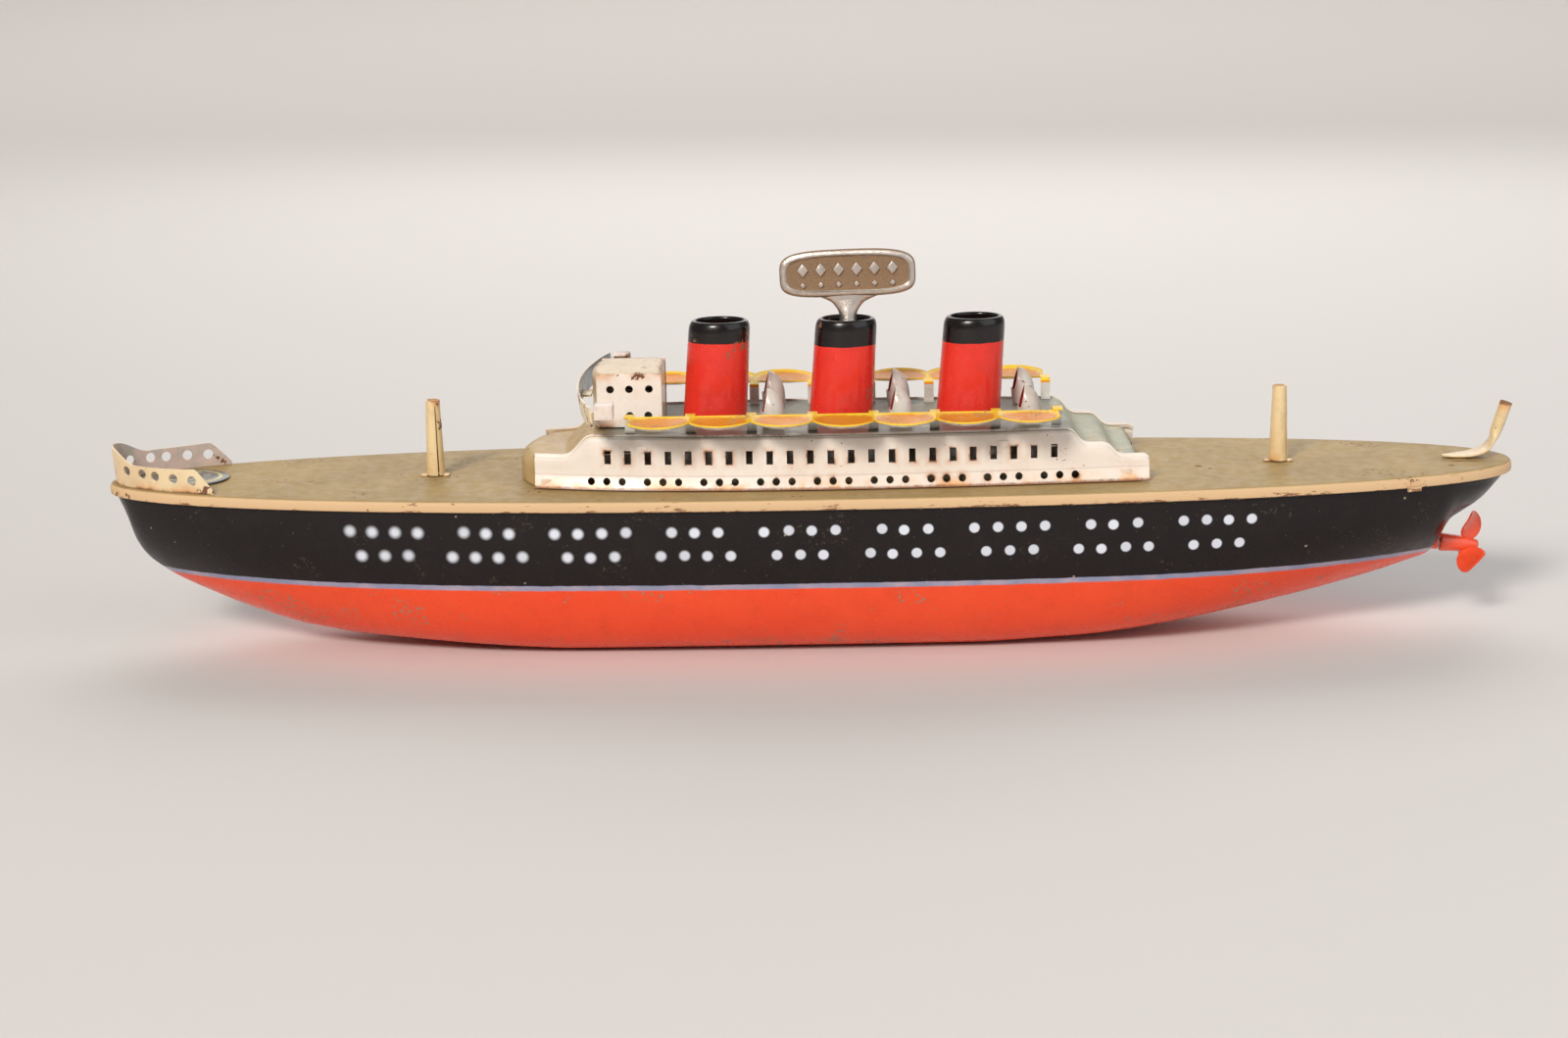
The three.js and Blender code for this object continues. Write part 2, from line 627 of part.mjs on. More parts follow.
// A tapered tube rolled from sheet, with an open seam on its after side.
function rolledMast() {
  const top = mast.height - GAP;
  const open = THREE.MathUtils.degToRad(mast.seam);
  const ring = (setIn) => Array.from({ length: 17 }, (_, i) => {
    const angle = open / 2 + ((2 * Math.PI - open) * i) / 16;
    return [[mast.base / 2, 0], [mast.top / 2, top]].map(([r, z]) => {
      return new THREE.Vector3((r - setIn) * Math.cos(angle), (r - setIn) * Math.sin(angle), z);
    });
  });
  return thickSheet(ring(0), ring(TIN));
}
add("fore_mast", rolledMast(), "cream", [mast.fore, 0, deckSeat]);
add("aft_mast", rolledMast(), "cream", [mast.aft, 0, deckSeat]);

function sternStaff() {
  const [[footX, footZ], [tipX, tipZ]] = [flagstaff.foot, flagstaff.tip].map(([x, z]) => [halfLength - x, z]);
  const tabEnd = halfLength - flagstaff.tabEnd;
  const tube = bar([footX, 0, deckTop + footZ], [tipX, 0, deckTop + tipZ], flagstaff.diameter, 14);
  const half = flagstaff.diameter / 2;
  const line = [[tabEnd, deckSeat], [tabEnd, deckSeat + TIN], [footX - 4, deckSeat + TIN + 0.4],
    [footX - half, deckTop + footZ + 0.6], [footX + half * 0.8, deckTop + footZ + 0.2], [footX - 2, deckSeat]];
  return unite([tube, sideSlab(line, -half - 0.4, half + 0.4)]);
}
add("flagstaff", sternStaff(), "cream");

const railEnd = rail.length - halfLength;

function bowRail() {
  const edge = deckEdge(rail.setIn, 200).filter(([x]) => x < railEnd);
  const inner = deckEdge(rail.setIn + TIN, 200).slice(0, edge.length);
  const pick = (line) => line.filter((_, i) => i % 3 === 0 || i === line.length - 1);
  const around = (line) => [...pick(line).slice(1).reverse().map(([x, y]) => [x, -y]), ...pick(line)];
  const [outside, inside] = [around(edge), around(inner)];
  const columns = (line) => line.map(([x, y]) => {
    const fromTip = THREE.MathUtils.clamp((x + halfLength) / (railEnd + halfLength), 0, 1);
    const ending = THREE.MathUtils.smoothstep(x, railEnd - rail.slant, railEnd);
    const height = THREE.MathUtils.lerp(rail.tipHeight, rail.sideHeight, Math.min(fromTip * 2.2, 1)) - 4.4 * ending;
    return [deckSeat, deckTop + height].map((z) => new THREE.Vector3(x, y, z));
  });
  const band = thickSheet(columns(outside), columns(inside));
  const holes = [];
  for (const side of [-1, 1]) {
    for (let i = 0; i < rail.holes; i += 1) {
      const x = railEnd - rail.slant - 0.6 - i * rail.pitch * (i > 2 ? 0.88 : 0.97);
      const y = side * (deckHalfWidth(x) - rail.setIn);
      const out = new THREE.Vector3(-0.25 - i * 0.16, side, 0).normalize().multiplyScalar(3);
      const z = deckTop + rail.sideHeight * 0.56 + i * 0.2;
      holes.push(bar([x - out.x, y - out.y, z], [x + out.x, y + out.y, z], rail.hole, 10));
    }
  }
  return biggest(cut(band, holes));
}
add("bow_rail", bowRail(), "cream");

const oval = circle(0, 0, 1, 28).map(([x, y]) => [
  badge.fromBow - halfLength + x * badge.length, y * badge.width,
]);
add("foredeck_plate", slab(oval, deckSeat, deckSeat + badge.thickness), "badge");

// ---------------------------------------------------------------- propeller and shaft

const shaftTurn = [0, slope, 0];

const shaftStart = onShaft(crownContact - 2.2);
const shaftEnd = onShaft(propellerPlace - propeller.hubFore + propeller.sleeve);
add("propeller_shaft", bar(shaftStart, shaftEnd, shaftLine.diameter), "steel");

const bored = (outer, bore, from, to) => cut(bar(from, to, outer, 20), [bar(
  new THREE.Vector3(...from).lerp(new THREE.Vector3(...to), -0.2).toArray(),
  new THREE.Vector3(...from).lerp(new THREE.Vector3(...to), 1.2).toArray(), bore, 20)]);
add("stern_tube", bored(tubeOuter, shaftBore, onShaft(tubeStart), onShaft(tubeEnd)), "propeller");

// A blade is a twisted oval sheet standing on the hub, along +z before it is turned about the shaft.
function blade() {
  const rows = 8;
  const face = (lift) => Array.from({ length: rows + 1 }, (_, i) => {
    const share = i / rows;
    const r = propeller.hub * 0.4 + (propeller.radius - propeller.hub * 0.4) * share;
    const half = 0.6 + (propeller.chord / 2 - 0.6) * Math.sin(Math.PI * (0.1 + share * 0.86)) ** 0.7;
    const pitch = THREE.MathUtils.degToRad(propeller.pitchAngle) * (1.25 - 0.55 * share);
    return Array.from({ length: 5 }, (_, j) => {
      const across = half * (j / 2 - 1);
      const x = across * Math.sin(pitch) + lift * Math.cos(pitch);
      const y = across * Math.cos(pitch) - lift * Math.sin(pitch);
      return new THREE.Vector3(x, y, Math.sqrt(Math.max(r * r - y * y, 0.5)));
    });
  });
  return thickSheet(face(propeller.thickness / 2), face(-propeller.thickness / 2));
}

function propellerSolid() {
  const r = propeller.hub / 2;
  const hubProfile = [
    [0, -propeller.hubFore], [r, -propeller.hubFore], [r * 0.8, 0], [r * 0.45, propeller.hubAft], [0, propeller.hubAft],
  ];
  const hub = turned(hubProfile, 20).rotateY(Math.PI / 2);
  const blades = Array.from({ length: propeller.blades }, (_, i) => {
    return blade().rotateX((2 * Math.PI * i) / propeller.blades);
  });
  const boreEnd = propeller.sleeve - propeller.hubFore + 2 * GAP;
  const bore = bar([-propeller.hubFore - 1, 0, 0], [boreEnd, 0, 0], shaftBore, 16);
  return cut(unite([hub, ...blades]), [bore]);
}
add("propeller", propellerSolid(), "propeller", onShaft(propellerPlace), shaftTurn);

// ---------------------------------------------------------------- gears

// A spur gear's outline, with short thinned teeth so that the train runs free.
function gearOutline(teeth, phase) {
  const radius = pitchRadius(teeth);
  const pressure = THREE.MathUtils.degToRad(20);
  const base = radius * Math.cos(pressure);
  const root = radius - 1.15 * motor.module;
  const tip = radius + 0.7 * motor.module;
  const involute = (angle) => Math.tan(angle) - angle;
  const halfTooth = (0.8 * Math.PI) / (2 * teeth) + involute(pressure);
  const flank = [root, radius, tip].map((r) => {
    return [r, halfTooth - (r > base ? involute(Math.acos(base / r)) : 0)];
  });
  const points = [];
  for (let i = 0; i < teeth; i += 1) {
    const middle = phase + (2 * Math.PI * i) / teeth;
    for (const [r, half] of flank) points.push([r * Math.cos(middle - half), r * Math.sin(middle - half)]);
    for (const [r, half] of [...flank].reverse()) {
      points.push([r * Math.cos(middle + half), r * Math.sin(middle + half)]);
    }
  }
  return points;
}

const wheelTop = motor.wheelBottom + motor.wheelThickness;
const boreOf = (diameter) => circle(0, 0, diameter + 2 * GAP, 24);
const wheelSlots = Array.from({ length: 4 }, (_, i) => {
  const angle = (Math.PI / 2) * i + Math.PI / 4;
  const spoke = pitchRadius(motor.wheelTeeth) * 0.62;
  return circle(spoke * Math.cos(angle), spoke * Math.sin(angle), 5.6, 16);
});
const wheelHoles = [boreOf(motor.arborDiameter), ...wheelSlots];
add("great_wheel", slab(gearOutline(motor.wheelTeeth, 0), motor.wheelBottom, wheelTop, wheelHoles), "brass",
  [motor.axis, 0, 0]);

const pinionTop = wheelTop + 0.4;
const pinionPhase = Math.PI + Math.PI / motor.pinionTeeth;
const pinion = slab(gearOutline(motor.pinionTeeth, pinionPhase), motor.wheelBottom - 0.4, pinionTop,
  [boreOf(motor.pivotDiameter)]);
add("intermediate_pinion", pinion, "steel", [pinionAxis, 0, 0]);

// The crown wheel's teeth stand up from its rim and meet the shaft's pinion from below.
const shaftHeight = onShaft(crownContact)[2];
const crownPitch = shaftHeight - pitchRadius(motor.shaftTeeth);
const crownFloor = crownPitch - 1.35 * motor.module;
function crownWheel() {
  const radius = pitchRadius(motor.crownTeeth);
  const disc = slab(circle(0, 0, 2 * radius + 1.8, 48), pinionTop + GAP, crownFloor, [boreOf(motor.pivotDiameter)]);
  const teeth = Array.from({ length: motor.crownTeeth }, (_, i) => {
    const tip = crownPitch + 0.7 * motor.module;
    const line = [[-0.4, crownFloor - 0.1], [0.4, crownFloor - 0.1], [0.22, tip], [-0.22, tip]];
    const tooth = sideSlab(line, -0.9, 0.9).rotateZ(Math.PI / 2).translate(radius, 0, 0);
    return tooth.rotateZ((2 * Math.PI * i) / motor.crownTeeth);
  });
  return unite([disc, ...teeth]);
}
add("crown_wheel", crownWheel(), "brass", [pinionAxis, 0, 0]);

const shaftPhase = Math.PI / motor.shaftTeeth;
const pinionBore = circle(0, 0, shaftLine.diameter + GAP, 20);
const shaftPinion = slab(gearOutline(motor.shaftTeeth, shaftPhase), -1.1, 1.1, [pinionBore]);
add("shaft_pinion", shaftPinion.rotateY(Math.PI / 2), "steel", onShaft(crownContact), shaftTurn);

// ---------------------------------------------------------------- motor

const plateOutline = rectangle(motor.plateStart, motor.plateEnd, -motor.plateHalfWidth, motor.plateHalfWidth);
const plateHoles = [
  circle(motor.axis, 0, motor.arborDiameter + 2 * GAP, 24),
  circle(pinionAxis, 0, motor.pivotDiameter + 2 * GAP, 20),
];
const plateRoof = motor.plateTop + motor.plateThickness;
add("motor_bottom_plate", slab(plateOutline, motor.plateBottom, motor.plateBottom + motor.plateThickness, plateHoles),
  "steel");
add("motor_top_plate", slab(plateOutline, motor.plateTop, plateRoof, plateHoles), "steel");

const pillarNames = ["port_fore", "starboard_fore", "port_aft", "starboard_aft"];
pillarNames.forEach((name, i) => {
  const x = i < 2 ? motor.plateStart + motor.pillarInset : motor.plateEnd - motor.pillarInset;
  const y = (i % 2 === 0 ? -1 : 1) * (motor.plateHalfWidth - motor.pillarInset);
  const low = motor.plateBottom + motor.plateThickness + GAP;
  add(`pillar_${name}`, bar([x, y, low], [x, y, motor.plateTop - GAP], motor.pillarDiameter), "steel");
});

// A Z-bent strap on each side hangs the motor under the deck.
function hanger() {
  const inner = motor.plateHalfWidth - hangers.inset;
  const [low, high] = [plateRoof + GAP, underDeck - TIN];
  const line = [[inner, low], [inner + hangers.foot, low], [inner + hangers.foot, high], [inner + 2 * hangers.foot, high]];
  const strap = sideSlab(bentStrip(line, -TIN), -hangers.length / 2, hangers.length / 2);
  return strap.rotateZ(Math.PI / 2).translate(motor.axis, 0, 0);
}
add("motor_hanger_starboard", hanger(), "steel");
add("motor_hanger_port", otherSide(hanger()), "steel");

add("intermediate_arbor", bar([pinionAxis, 0, motor.plateBottom - 1], [pinionAxis, 0, plateRoof + 1],
  motor.pivotDiameter), "steel");

function windingArbor() {
  const round = bar([motor.axis, 0, motor.plateBottom - 1], [motor.axis, 0, deckTop + 2], motor.arborDiameter, 20);
  const half = motor.squareSide / 2;
  const square = slab(rectangle(motor.axis - half, motor.axis + half, -half, half), deckTop, deckTop + key.squareTop);
  return unite([round, square]);
}
add("winding_arbor", windingArbor(), "steel");

// Three springy arms that drive the great wheel one way and slip the other way.
function clickStar() {
  const arms = Array.from({ length: 3 }, (_, i) => {
    const arm = slab([[2.6, -1.2], [8.2, 0.4], [8.6, 1.5], [2.6, 1.2]], 0, TIN);
    return arm.rotateZ((2 * Math.PI * i) / 3);
  });
  const ring = slab(circle(0, 0, 7.4, 24), 0, TIN);
  return cut(unite([ring, ...arms]), [slab(boreOf(motor.arborDiameter), -1, TIN + 1)]);
}
add("click_star", clickStar(), "steel", [motor.axis, 0, wheelTop + GAP]);

function mainspring() {
  const start = motor.arborDiameter / 2 + GAP;
  const side = (offset) => Array.from({ length: spring.turns * spring.perTurn + 1 }, (_, i) => {
    const angle = (2 * Math.PI * i) / spring.perTurn;
    const r = start + (spring.pitch * i) / spring.perTurn + offset;
    return [r * Math.cos(angle), r * Math.sin(angle)];
  });
  const low = motor.plateBottom + motor.plateThickness + spring.clearance;
  return slab([...side(TIN), ...side(0).reverse()], low, motor.wheelBottom - spring.clearance);
}
add("mainspring", mainspring(), "spring", [motor.axis, 0, 0]);

const bearingPlate = slab(rectangle(bearing.start, bearing.start + bearing.thickness, -bearing.width / 2,
  bearing.width / 2), bearing.low, underDeck);
const bearingHole = bar(onShaft(bearing.start - 2), onShaft(bearing.start + 3), shaftBore);
add("shaft_bearing", cut(bearingPlate, [bearingHole]), "steel");

// ---------------------------------------------------------------- key

const keyCentre = deckTop + key.centre;

// The plaque's outline: two gently crowned long sides and rounded ends.
function plaqueOutline(setIn) {
  const halfWidth = key.width / 2 - setIn;
  const halfHeight = key.height / 2 - setIn;
  return Array.from({ length: 40 }, (_, i) => {
    const angle = (2 * Math.PI * (i + 0.5)) / 40;
    const [c, s] = [Math.cos(angle), Math.sin(angle)];
    return [halfWidth * Math.sign(c) * Math.abs(c) ** 0.42, halfHeight * Math.sign(s) * Math.abs(s) ** 0.55];
  });
}

function windingKey() {
  const half = key.thickness / 2;
  const lean = THREE.MathUtils.degToRad(-key.lean);
  const plaque = sideSlab(plaqueOutline(0), -half, half);
  const recesses = [-1, 1].map((side) => {
    const near = side < 0 ? -half - 1 : half - key.recess;
    return sideSlab(plaqueOutline(key.rim), near, near + 1 + key.recess);
  });
  const head = geometryOf(cut(plaque, recesses)).rotateY(lean).translate(motor.axis, 0, keyCentre);
  const neckTop = keyCentre - key.height / 2 + 0.6;
  const neckBottom = neckTop - 4;
  const stem = key.stemDiameter / 2;
  const neckLine = [[-stem, neckBottom], [stem, neckBottom], [key.neckWidth / 2, neckTop], [-key.neckWidth / 2, neckTop]];
  const neck = sideSlab(neckLine, -half, half).translate(motor.axis, 0, 0);
  const shank = bar([motor.axis, 0, deckTop + key.stemBottom], [motor.axis, 0, neckBottom + 1], key.stemDiameter, 20);
  const reach = motor.squareSide / 2 + GAP;
  const socket = slab(rectangle(motor.axis - reach, motor.axis + reach, -reach, reach),
    deckTop + key.stemBottom - 1, deckTop + key.squareTop + GAP);
  return cut(unite([head, neck, shank]), [socket]);
}
add("winding_key", windingKey(), "nickel");

export default boat;
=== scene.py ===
# Tinplate clockwork liner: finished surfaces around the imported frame.
# Sizes in the dictionaries are millimetres.
import json
from math import atan2, cos, hypot, pi, radians, sin
import bmesh
import bpy
from mathutils import Matrix, Vector, noise


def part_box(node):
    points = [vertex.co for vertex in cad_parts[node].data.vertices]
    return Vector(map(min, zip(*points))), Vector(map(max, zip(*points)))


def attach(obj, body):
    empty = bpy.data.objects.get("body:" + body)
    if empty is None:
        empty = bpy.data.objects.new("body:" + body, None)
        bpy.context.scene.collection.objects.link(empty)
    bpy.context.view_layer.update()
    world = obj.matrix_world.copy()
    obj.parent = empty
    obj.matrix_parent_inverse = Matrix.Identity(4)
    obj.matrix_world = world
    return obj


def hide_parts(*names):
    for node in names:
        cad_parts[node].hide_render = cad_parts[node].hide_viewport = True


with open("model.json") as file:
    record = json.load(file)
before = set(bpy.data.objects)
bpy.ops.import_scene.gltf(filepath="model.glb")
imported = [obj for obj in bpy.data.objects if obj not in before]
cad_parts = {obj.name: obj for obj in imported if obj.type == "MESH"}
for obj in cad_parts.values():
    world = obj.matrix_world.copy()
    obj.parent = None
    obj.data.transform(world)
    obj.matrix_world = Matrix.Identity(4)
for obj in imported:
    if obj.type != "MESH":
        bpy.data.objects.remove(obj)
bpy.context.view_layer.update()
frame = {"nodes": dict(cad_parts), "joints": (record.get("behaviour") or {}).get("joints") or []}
mm = 0.001
up = Vector((0, 0, 1))


def boxOf(node):
    low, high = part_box(node)
    return Vector(low) / mm, Vector(high) / mm


deckHigh = boxOf("deck")[1]
deckTop = deckHigh.z
halfLength = deckHigh.x
halfBeam = deckHigh.y
houseLow, houseHigh = boxOf("starboard_house_wall")
roofHigh = boxOf("house_roof")[1]
roofTop = roofHigh.z


def clamp(value, low=0.0, high=1.0):
    return max(low, min(high, value))


def mix(a, b, share):
    return a + (b - a) * share


def smooth(value, low, high):
    share = clamp((value - low) / (high - low))
    return share * share * (3 - 2 * share)


def wobble(x, y, z, scale=0.05, seed=0.0):  # slow noise from -1 to 1 that stays the same each run
    return noise.noise(Vector((x * scale + seed, y * scale, z * scale + seed * 2)))


def sheet(bm, across, along, place):
    # A grid of across by along cells laid where place(u, v) says, u and v from 0 to 1.
    made = bmesh.ops.create_grid(bm, x_segments=across, y_segments=along, size=1)["verts"]
    for vert in made:
        vert.co = Vector(place((vert.co.x + 1) / 2, (vert.co.y + 1) / 2))
    return made


def weld(bm, distance=0.0008):
    bmesh.ops.remove_doubles(bm, verts=bm.verts, dist=distance)
    bmesh.ops.dissolve_degenerate(bm, edges=bm.edges, dist=distance)


def outward(bm):
    bmesh.ops.recalc_face_normals(bm, faces=bm.faces)


def thicken(bm, thickness):
    bmesh.ops.solidify(bm, geom=bm.faces[:], thickness=thickness)


def block(bm, low, high, bevel=0.0, segments=2, matrix=None):
    # A box from its low corner to its high corner, with its edges rounded.
    low, high = Vector(low), Vector(high)
    verts = bmesh.ops.create_cube(bm, size=1)["verts"]
    size = high - low
    for vert in verts:
        middle = (low + high) / 2
        vert.co = Vector([vert.co[i] * size[i] + middle[i] for i in range(3)])
    if bevel:
        edges = list({edge for vert in verts for edge in vert.link_edges})
        made = bmesh.ops.bevel(bm, geom=edges, offset=bevel, segments=segments, profile=0.5, affect="EDGES",
                               material=-1)
        verts = list({vert for face in made["faces"] for vert in face.verts})
    if matrix:
        bmesh.ops.transform(bm, matrix=matrix, verts=verts)
    return verts


def rod(bm, start, end, radius, sides=16):
    start, end = Vector(start), Vector(end)
    turn = up.rotation_difference((end - start).normalized()).to_matrix().to_4x4()
    place = Matrix.Translation((start + end) / 2) @ turn
    return bmesh.ops.create_cone(bm, cap_ends=True, segments=sides, radius1=radius, radius2=radius,
                                 depth=(end - start).length, matrix=place)["verts"]


def rounded(line, radius, steps=5):
    # A line of (x, z) points with its corners turned into arcs.
    done = [Vector(line[0])]
    for before, corner, after in zip(line, line[1:], line[2:]):
        before, corner, after = Vector(before), Vector(corner), Vector(after)
        room = min(radius, (corner - before).length * 0.48, (after - corner).length * 0.48)
        start = corner + (before - corner).normalized() * room
        end = corner + (after - corner).normalized() * room
        for step in range(steps + 1):
            t = step / steps
            done.append(start * (1 - t) ** 2 + corner * 2 * t * (1 - t) + end * t * t)
    return done + [Vector(line[-1])]


def onLine(line, share):
    # The point at a share of a line's length.
    lengths = [0.0]
    for a, b in zip(line, line[1:]):
        lengths.append(lengths[-1] + (b - a).length)
    target = share * lengths[-1]
    for i in range(1, len(lengths)):
        if target <= lengths[i] or i == len(lengths) - 1:
            span = lengths[i] - lengths[i - 1] or 1
            return line[i - 1].lerp(line[i], clamp((target - lengths[i - 1]) / span))


def heightAt(line, x):
    # Height of a line of (x, z) points at x.
    for a, b in zip(line, line[1:]):
        if a.x <= x <= b.x and b.x > a.x:
            return mix(a.y, b.y, (x - a.x) / (b.x - a.x))
    return line[0].y if x < line[0].x else line[-1].y


def carve(obj, cutter):
    # Cuts one mesh out of another and keeps the result in the mesh.
    tool = obj.modifiers.new("cut", "BOOLEAN")
    tool.operation, tool.object, tool.solver = "DIFFERENCE", cutter, "EXACT"
    bpy.context.view_layer.update()
    evaluated = obj.evaluated_get(bpy.context.evaluated_depsgraph_get())
    mesh = bpy.data.meshes.new_from_object(evaluated)
    obj.modifiers.clear()
    obj.data = mesh
    bpy.data.objects.remove(cutter, do_unlink=True)


def objectFrom(bm, name):
    bmesh.ops.scale(bm, vec=(mm, mm, mm), verts=bm.verts)
    mesh = bpy.data.meshes.new(name)
    bm.to_mesh(mesh)
    bm.free()
    obj = bpy.data.objects.new(name, mesh)
    bpy.context.scene.collection.objects.link(obj)
    return obj


def shade(obj, angle=35):
    bm = bmesh.new()
    bm.from_mesh(obj.data)
    for face in bm.faces:
        face.smooth = True
    for edge in bm.edges:
        edge.smooth = len(edge.link_faces) == 2 and edge.calc_face_angle(0) < radians(angle)
    bm.to_mesh(obj.data)
    bm.free()


def finishPiece(bm, name, materials, body="hull", stands=(), angle=35, cutter=None, pick=None):
    # Makes the object, cuts it, shades it and ties it to its body. pick(face) gives a face's material number.
    obj = objectFrom(bm, name)
    if cutter:
        carve(obj, objectFrom(cutter, name + "Cutter"))
    obj.data.materials.clear()
    for material in materials:
        obj.data.materials.append(material)
    if pick:
        for face in obj.data.polygons:
            face.material_index = pick(face)
    shade(obj, angle)
    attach(obj, body)
    if stands:
        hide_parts(*stands)
    return obj


camera = {
    "lens": 65.1, "place": (2.6, -611.0, 179.5), "tilt": 75.87, "roll": -1.0, "shiftX": -0.025,
}


def setCamera():
    data = bpy.data.cameras.new("camera")
    data.lens, data.sensor_width = camera["lens"], 36
    data.shift_x = camera["shiftX"]
    data.clip_start, data.clip_end = 0.01, 20
    obj = bpy.data.objects.new("camera", data)
    turn = Matrix.Rotation(radians(camera["tilt"]), 4, "X") @ Matrix.Rotation(radians(camera["roll"]), 4, "Z")
    obj.matrix_world = Matrix.Translation(Vector(camera["place"]) * mm) @ turn
    bpy.context.scene.collection.objects.link(obj)
    bpy.context.scene.camera = obj


lights = {
    "key": {"place": (-330, -720, 560), "aim": (0, 0, 30), "size": 0.26, "power": 2.6, "color": (1.0, 0.95, 0.88)},
    # a sun's size is its angle in degrees, and its power is per square metre
    "sun": {"place": (-330, -720, 600), "aim": (0, 0, 30), "size": 13.0, "power": 1.7, "color": (1.0, 0.95, 0.88)},
    "fill": {"place": (520, -420, 420), "aim": (0, 0, 30), "size": 0.7, "power": 1.8, "color": (0.93, 0.96, 1.0)},
    "wall": {"place": (0, 1700, 1300), "aim": (0, 1800, 0), "size": 2.0, "power": 14.0, "color": (1.0, 0.98, 0.96)},
    "back": {"place": (60, 620, 520), "aim": (0, 0, 40), "size": 0.8, "power": 2.0, "color": (1.0, 1.0, 1.0)},
}


def setLights():
    for name, one in lights.items():
        data = bpy.data.lights.new(name, "SUN" if name == "sun" else "AREA")
        data.energy, data.color = one["power"], one["color"]
        if name == "sun":
            data.angle = radians(one["size"])
        else:
            data.size = one["size"]
        obj = bpy.data.objects.new(name, data)
        place = Vector(one["place"]) * mm
        aim = Vector(one["aim"]) * mm - place
        obj.matrix_world = Matrix.Translation(place) @ aim.to_track_quat("-Z", "Y").to_matrix().to_4x4()
        bpy.context.scene.collection.objects.link(obj)
    world = bpy.data.worlds.new("studio")
    world.use_nodes = True
    sky = world.node_tree.nodes["Background"]
    sky.inputs["Color"].default_value = (0.80, 0.82, 0.84, 1)
    sky.inputs["Strength"].default_value = 0.24
    bpy.context.scene.world = world
    bpy.context.scene.view_settings.view_transform = "Standard"


def setFloor():
    bm = bmesh.new()
    reach, bend, rise = 2.6, 0.6, 1.6

    def place(u, v):
        run = mix(-2.0, reach + bend * pi / 2 + rise, v)
        angle = clamp((run - reach) / bend, 0, pi / 2)
        y = min(run, reach) + bend * sin(angle)
        return (mix(-3.5, 3.5, u), y, bend * (1 - cos(angle)) + max(run - reach - bend * pi / 2, 0))
    sheet(bm, 2, 120, place)
    for face in bm.faces:
        face.smooth = True
    mesh = bpy.data.meshes.new("floor")
    bm.to_mesh(mesh)
    bm.free()
    floor = bpy.data.objects.new("floor", mesh)
    bpy.context.scene.collection.objects.link(floor)
    material = bpy.data.materials.new("paleFloor")
    material.use_nodes = True
    shader = material.node_tree.nodes["Principled BSDF"]
    shader.inputs["Base Color"].default_value = (0.66, 0.63, 0.61, 1)
    shader.inputs["Roughness"].default_value = 0.75
    floor.data.materials.append(material)


setCamera()
setLights()
setFloor()
print("camera, lights and floor are set")


def link(tree, source, target):
    # Feeds a socket from another socket, or sets its value.
    if isinstance(source, (int, float)):
        target.default_value = source
    elif isinstance(source, (tuple, list)):
        target.default_value = (*source, 1) if len(source) == 3 and len(target.default_value) == 4 else source
    else:
        tree.links.new(source, target)


def calc(tree, operation, a, b=0.0, held=False):
    node = tree.nodes.new("ShaderNodeMath")
    node.operation = operation
    node.use_clamp = held
    for source, target in zip((a, b), node.inputs):
        link(tree, source, target)
    return node.outputs[0]


def mathNode(operation):
    return lambda tree, a, b=0.0, held=False: calc(tree, operation, a, b, held)


times, plus, minus, most, over = map(mathNode, ("MULTIPLY", "ADD", "SUBTRACT", "MAXIMUM", "DIVIDE"))


def ramp(tree, value, low, high, toLow=0.0, toHigh=1.0):
    # A smooth step of a value between two limits.
    node = tree.nodes.new("ShaderNodeMapRange")
    node.interpolation_type = "SMOOTHSTEP"
    for source, target in zip((value, low, high, toLow, toHigh), node.inputs[:5]):
        link(tree, source, target)
    return node.outputs[0]


def blendColor(tree, share, a, b, mode="MIX"):
    node = tree.nodes.new("ShaderNodeMix")
    node.data_type, node.blend_type = "RGBA", mode
    sockets = [socket for socket in node.inputs if socket.enabled]
    link(tree, share, sockets[0])
    link(tree, a, sockets[1])
    link(tree, b, sockets[2])
    return [socket for socket in node.outputs if socket.enabled][0]


def noiseOf(tree, vector, scale, detail=3.0, roughness=0.55):
    node = tree.nodes.new("ShaderNodeTexNoise")
    link(tree, vector, node.inputs["Vector"])
    node.inputs["Scale"].default_value = scale if isinstance(scale, (int, float)) else 1.0
    if not isinstance(scale, (int, float)):
        tree.links.new(scale, node.inputs["Scale"])
    node.inputs["Detail"].default_value = detail
    node.inputs["Roughness"].default_value = roughness
    return node.outputs["Fac"]


def objectPlace(tree):
    # Object coordinates in millimetres, as a vector and its three parts.
    coordinates = tree.nodes.new("ShaderNodeTexCoord")
    scaled = tree.nodes.new("ShaderNodeVectorMath")
    scaled.operation = "SCALE"
    tree.links.new(coordinates.outputs["Object"], scaled.inputs[0])
    scaled.inputs["Scale"].default_value = 1 / mm
    parts = tree.nodes.new("ShaderNodeSeparateXYZ")
    tree.links.new(scaled.outputs[0], parts.inputs[0])
    return scaled.outputs[0], parts.outputs[0], parts.outputs[1], parts.outputs[2]


def moved(tree, vector, offset, stretch=(1, 1, 1)):
    node = tree.nodes.new("ShaderNodeMapping")
    tree.links.new(vector, node.inputs["Vector"])
    node.inputs["Location"].default_value = offset
    node.inputs["Scale"].default_value = stretch
    return node.outputs[0]


